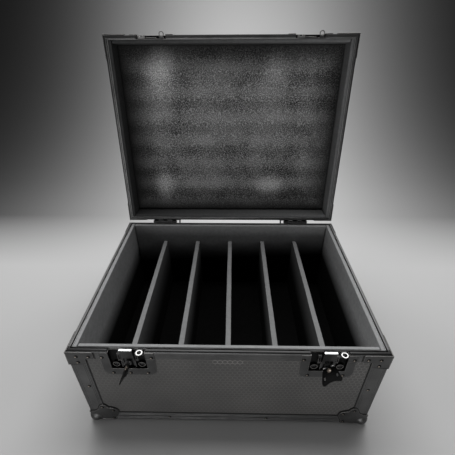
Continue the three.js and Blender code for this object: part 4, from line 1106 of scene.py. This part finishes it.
for sideName, side in sides.items():
    for half in halves:
        dressed(f"{sideName}_hinge_{half}_leaf", "steel", half)
    dressed(f"{sideName}_hinge_pin", "pin", slotName="pin_steel", bevel=hinge["pinBevel"])
    for step in hinge["rivets"]:
        for half, run in halves.items():
            rivet(half, "front", side * case["hinge"] + step, case["rim"] + run["up"] * hinge["height"],
                  case["halfDepth"] + hinge["out"], 1)
    dressed(f"{sideName}_handle_dish", "steel", bevel=handle["dishBevel"])
    wide, middle, tall, face = handle["rivets"]
    for hand in (-1, 1):
        for rise in (-tall, tall):
            rivet("base", "side", hand * wide, middle + rise, inX(side, face), side)
    x, low, top = inX(side, handle["depth"]), handle["pivot"] - handle["drop"], handle["pivot"]
    bend, reach = handle["bend"], handle["half"]
    arc = [math.pi / 2 * k / handle["bendSteps"] for k in range(1, handle["bendSteps"] + 1)]
    bent = [(reach - bend * (1 - math.cos(t)), low + bend * (1 - math.sin(t))) for t in arc]
    path = [(reach, top + handle["over"]), (reach, low + bend)] + bent
    bar = Form().tube([(x, -a, h) for a, h in path] + [(x, a, h) for a, h in reversed(path)], handle["bar"],
                      handle["barSteps"])
    for hand in (-1, 1):
        bar.tube([(x, hand * (reach - handle["stubIn"]), top), (x, hand * (reach + handle["stubOut"]), top)],
                 handle["stub"], handle["stubSteps"])
    standIn(f"{sideName}_handle_bail", bar, "steel", f"{sideName}_bail", bevel=handle["barBevel"])
    span, count = handle["gripHalf"], handle["ribs"] * 4
    grip = Form().tube([(x, -span + 2 * span * k / count, low) for k in range(count + 1)], ribbed,
                       handle["gripSteps"])
    addPiece(f"{sideName}_handle_grip", grip, "grip", f"{sideName}_bail")

for half, form in rivets.items():
    addPiece(half + "_rivets", form, ["rivet", "worn"], half, bevel=0)
print("hinges, handles and rivets made")


# stage, light and camera
stageLook = {"floor": 0.5, "wall": 0.5, "fade": (0.35, 0.75), "paintedLightPool": (0.1, 0.413), "low": -0.0081,
             "rough": 0.9, "size": 9.0, "bend": 1.6, "back": 2.6, "height": 4.0, "steps": 16}


def sweepBackdrop():
    low, back, bend, steps = stageLook["low"], stageLook["back"], stageLook["bend"], stageLook["steps"]
    path = [(-stageLook["size"] / 2, low), (back - bend, low)]
    for k in range(1, steps + 1):
        t = math.pi / 2 * k / steps
        path.append((back - bend * (1 - math.sin(t)), low + bend * (1 - math.cos(t))))
    path.append((back, stageLook["height"]))
    bm = bmesh.new()
    half = stageLook["size"] / 2
    rows = [[bm.verts.new((x, y, z)) for x in (-half, half)] for y, z in path]
    for a, b in zip(rows, rows[1:]):
        bm.faces.new((a[0], a[1], b[1], b[0])).smooth = True
    mesh = bpy.data.meshes.new("backdrop")
    bm.to_mesh(mesh)
    bm.free()
    sheet = bpy.data.objects.new("backdrop", mesh)
    bpy.context.scene.collection.objects.link(sheet)
    g = Graph("backdropPaper")
    # plain on the floor; further back a painted pool of light in the middle that darkens to both sides
    x, y, _ = g.split(g.point())
    middle, spread = stageLook["paintedLightPool"]
    paintedLightPool = ((x - middle) * (x - middle) * (-0.5 / spread)).sum("EXPONENT") * stageLook["wall"]
    level = y.ramp(*stageLook["fade"]).pick(paintedLightPool, stageLook["floor"])
    colour = level.blend(grey(0.0), grey(1.0))
    mesh.materials.append(g.finish(Base_Color=colour, Roughness=stageLook["rough"]))


sweepBackdrop()


def areaLight(name, place, target, size, power):
    light = bpy.data.lights.new(name, "AREA")
    light.shape, light.size, light.size_y, light.energy = "RECTANGLE", size[0], size[1], power
    lamp = bpy.data.objects.new(name, light)
    lamp.location = place
    lamp.rotation_euler = (Vector(target) - Vector(place)).to_track_quat("-Z", "Y").to_euler()
    bpy.context.scene.collection.objects.link(lamp)


# place and target in metres, width and depth, and power
lights = {
    "topSoftbox": ((0.0, 1.05, 2.3), (0, 0.0, 0.2), (2.6, 2.0), 86),
    "frontFill": ((-0.4, -2.6, 0.25), (0, 0, 0.2), (1.6, 0.4), 24),
    "leftFill": ((-2.2, -0.3, 1.7), (0, 0, 0.25), (1.2, 1.2), 4),
    "rightFill": ((2.4, -0.4, 1.2), (0, 0, 0.3), (1.2, 1.2), 4),
}
worldLook = {"level": 0.8, "strength": 0.06}
for name, values in lights.items():
    areaLight(name, *values)
world = bpy.data.worlds.new("studio")
world.use_nodes = True
background = world.node_tree.nodes["Background"].inputs
background["Color"].default_value = grey(worldLook["level"])
background["Strength"].default_value = worldLook["strength"]
bpy.context.scene.world = world

view = {"place": (8.43, -663.4, 783.3), "yaw": -1.363, "pitch": 34.86, "roll": -0.406, "focal": 331.69,
        "frame": 455, "middle": (226.0, 248.6), "sensor": 36, "clip": (0.05, 50)}
yaw, pitch, roll = (math.radians(view[k]) for k in ("yaw", "pitch", "roll"))
forward = Vector((math.sin(yaw) * math.cos(pitch), math.cos(yaw) * math.cos(pitch), -math.sin(pitch)))
right = Vector((math.cos(yaw), -math.sin(yaw), 0))
upward = right.cross(forward)
across = right * math.cos(roll) + upward * math.sin(roll)
above = upward * math.cos(roll) - right * math.sin(roll)
turn = Matrix((across, above, -forward)).transposed().to_4x4()
lens = bpy.data.cameras.new("camera")
lens.sensor_width = view["sensor"]
lens.lens = view["focal"] * lens.sensor_width / view["frame"]
lens.shift_x = (view["frame"] / 2 - view["middle"][0]) / view["frame"]
lens.shift_y = (view["middle"][1] - view["frame"] / 2) / view["frame"]
lens.clip_start, lens.clip_end = view["clip"]
camera = bpy.data.objects.new("camera", lens)
camera.matrix_world = Matrix.Translation(Vector(view["place"]) * mm) @ turn
bpy.context.scene.collection.objects.link(camera)
bpy.context.scene.camera = camera
bpy.context.scene.view_settings.view_transform = "Standard"
print("stage set")
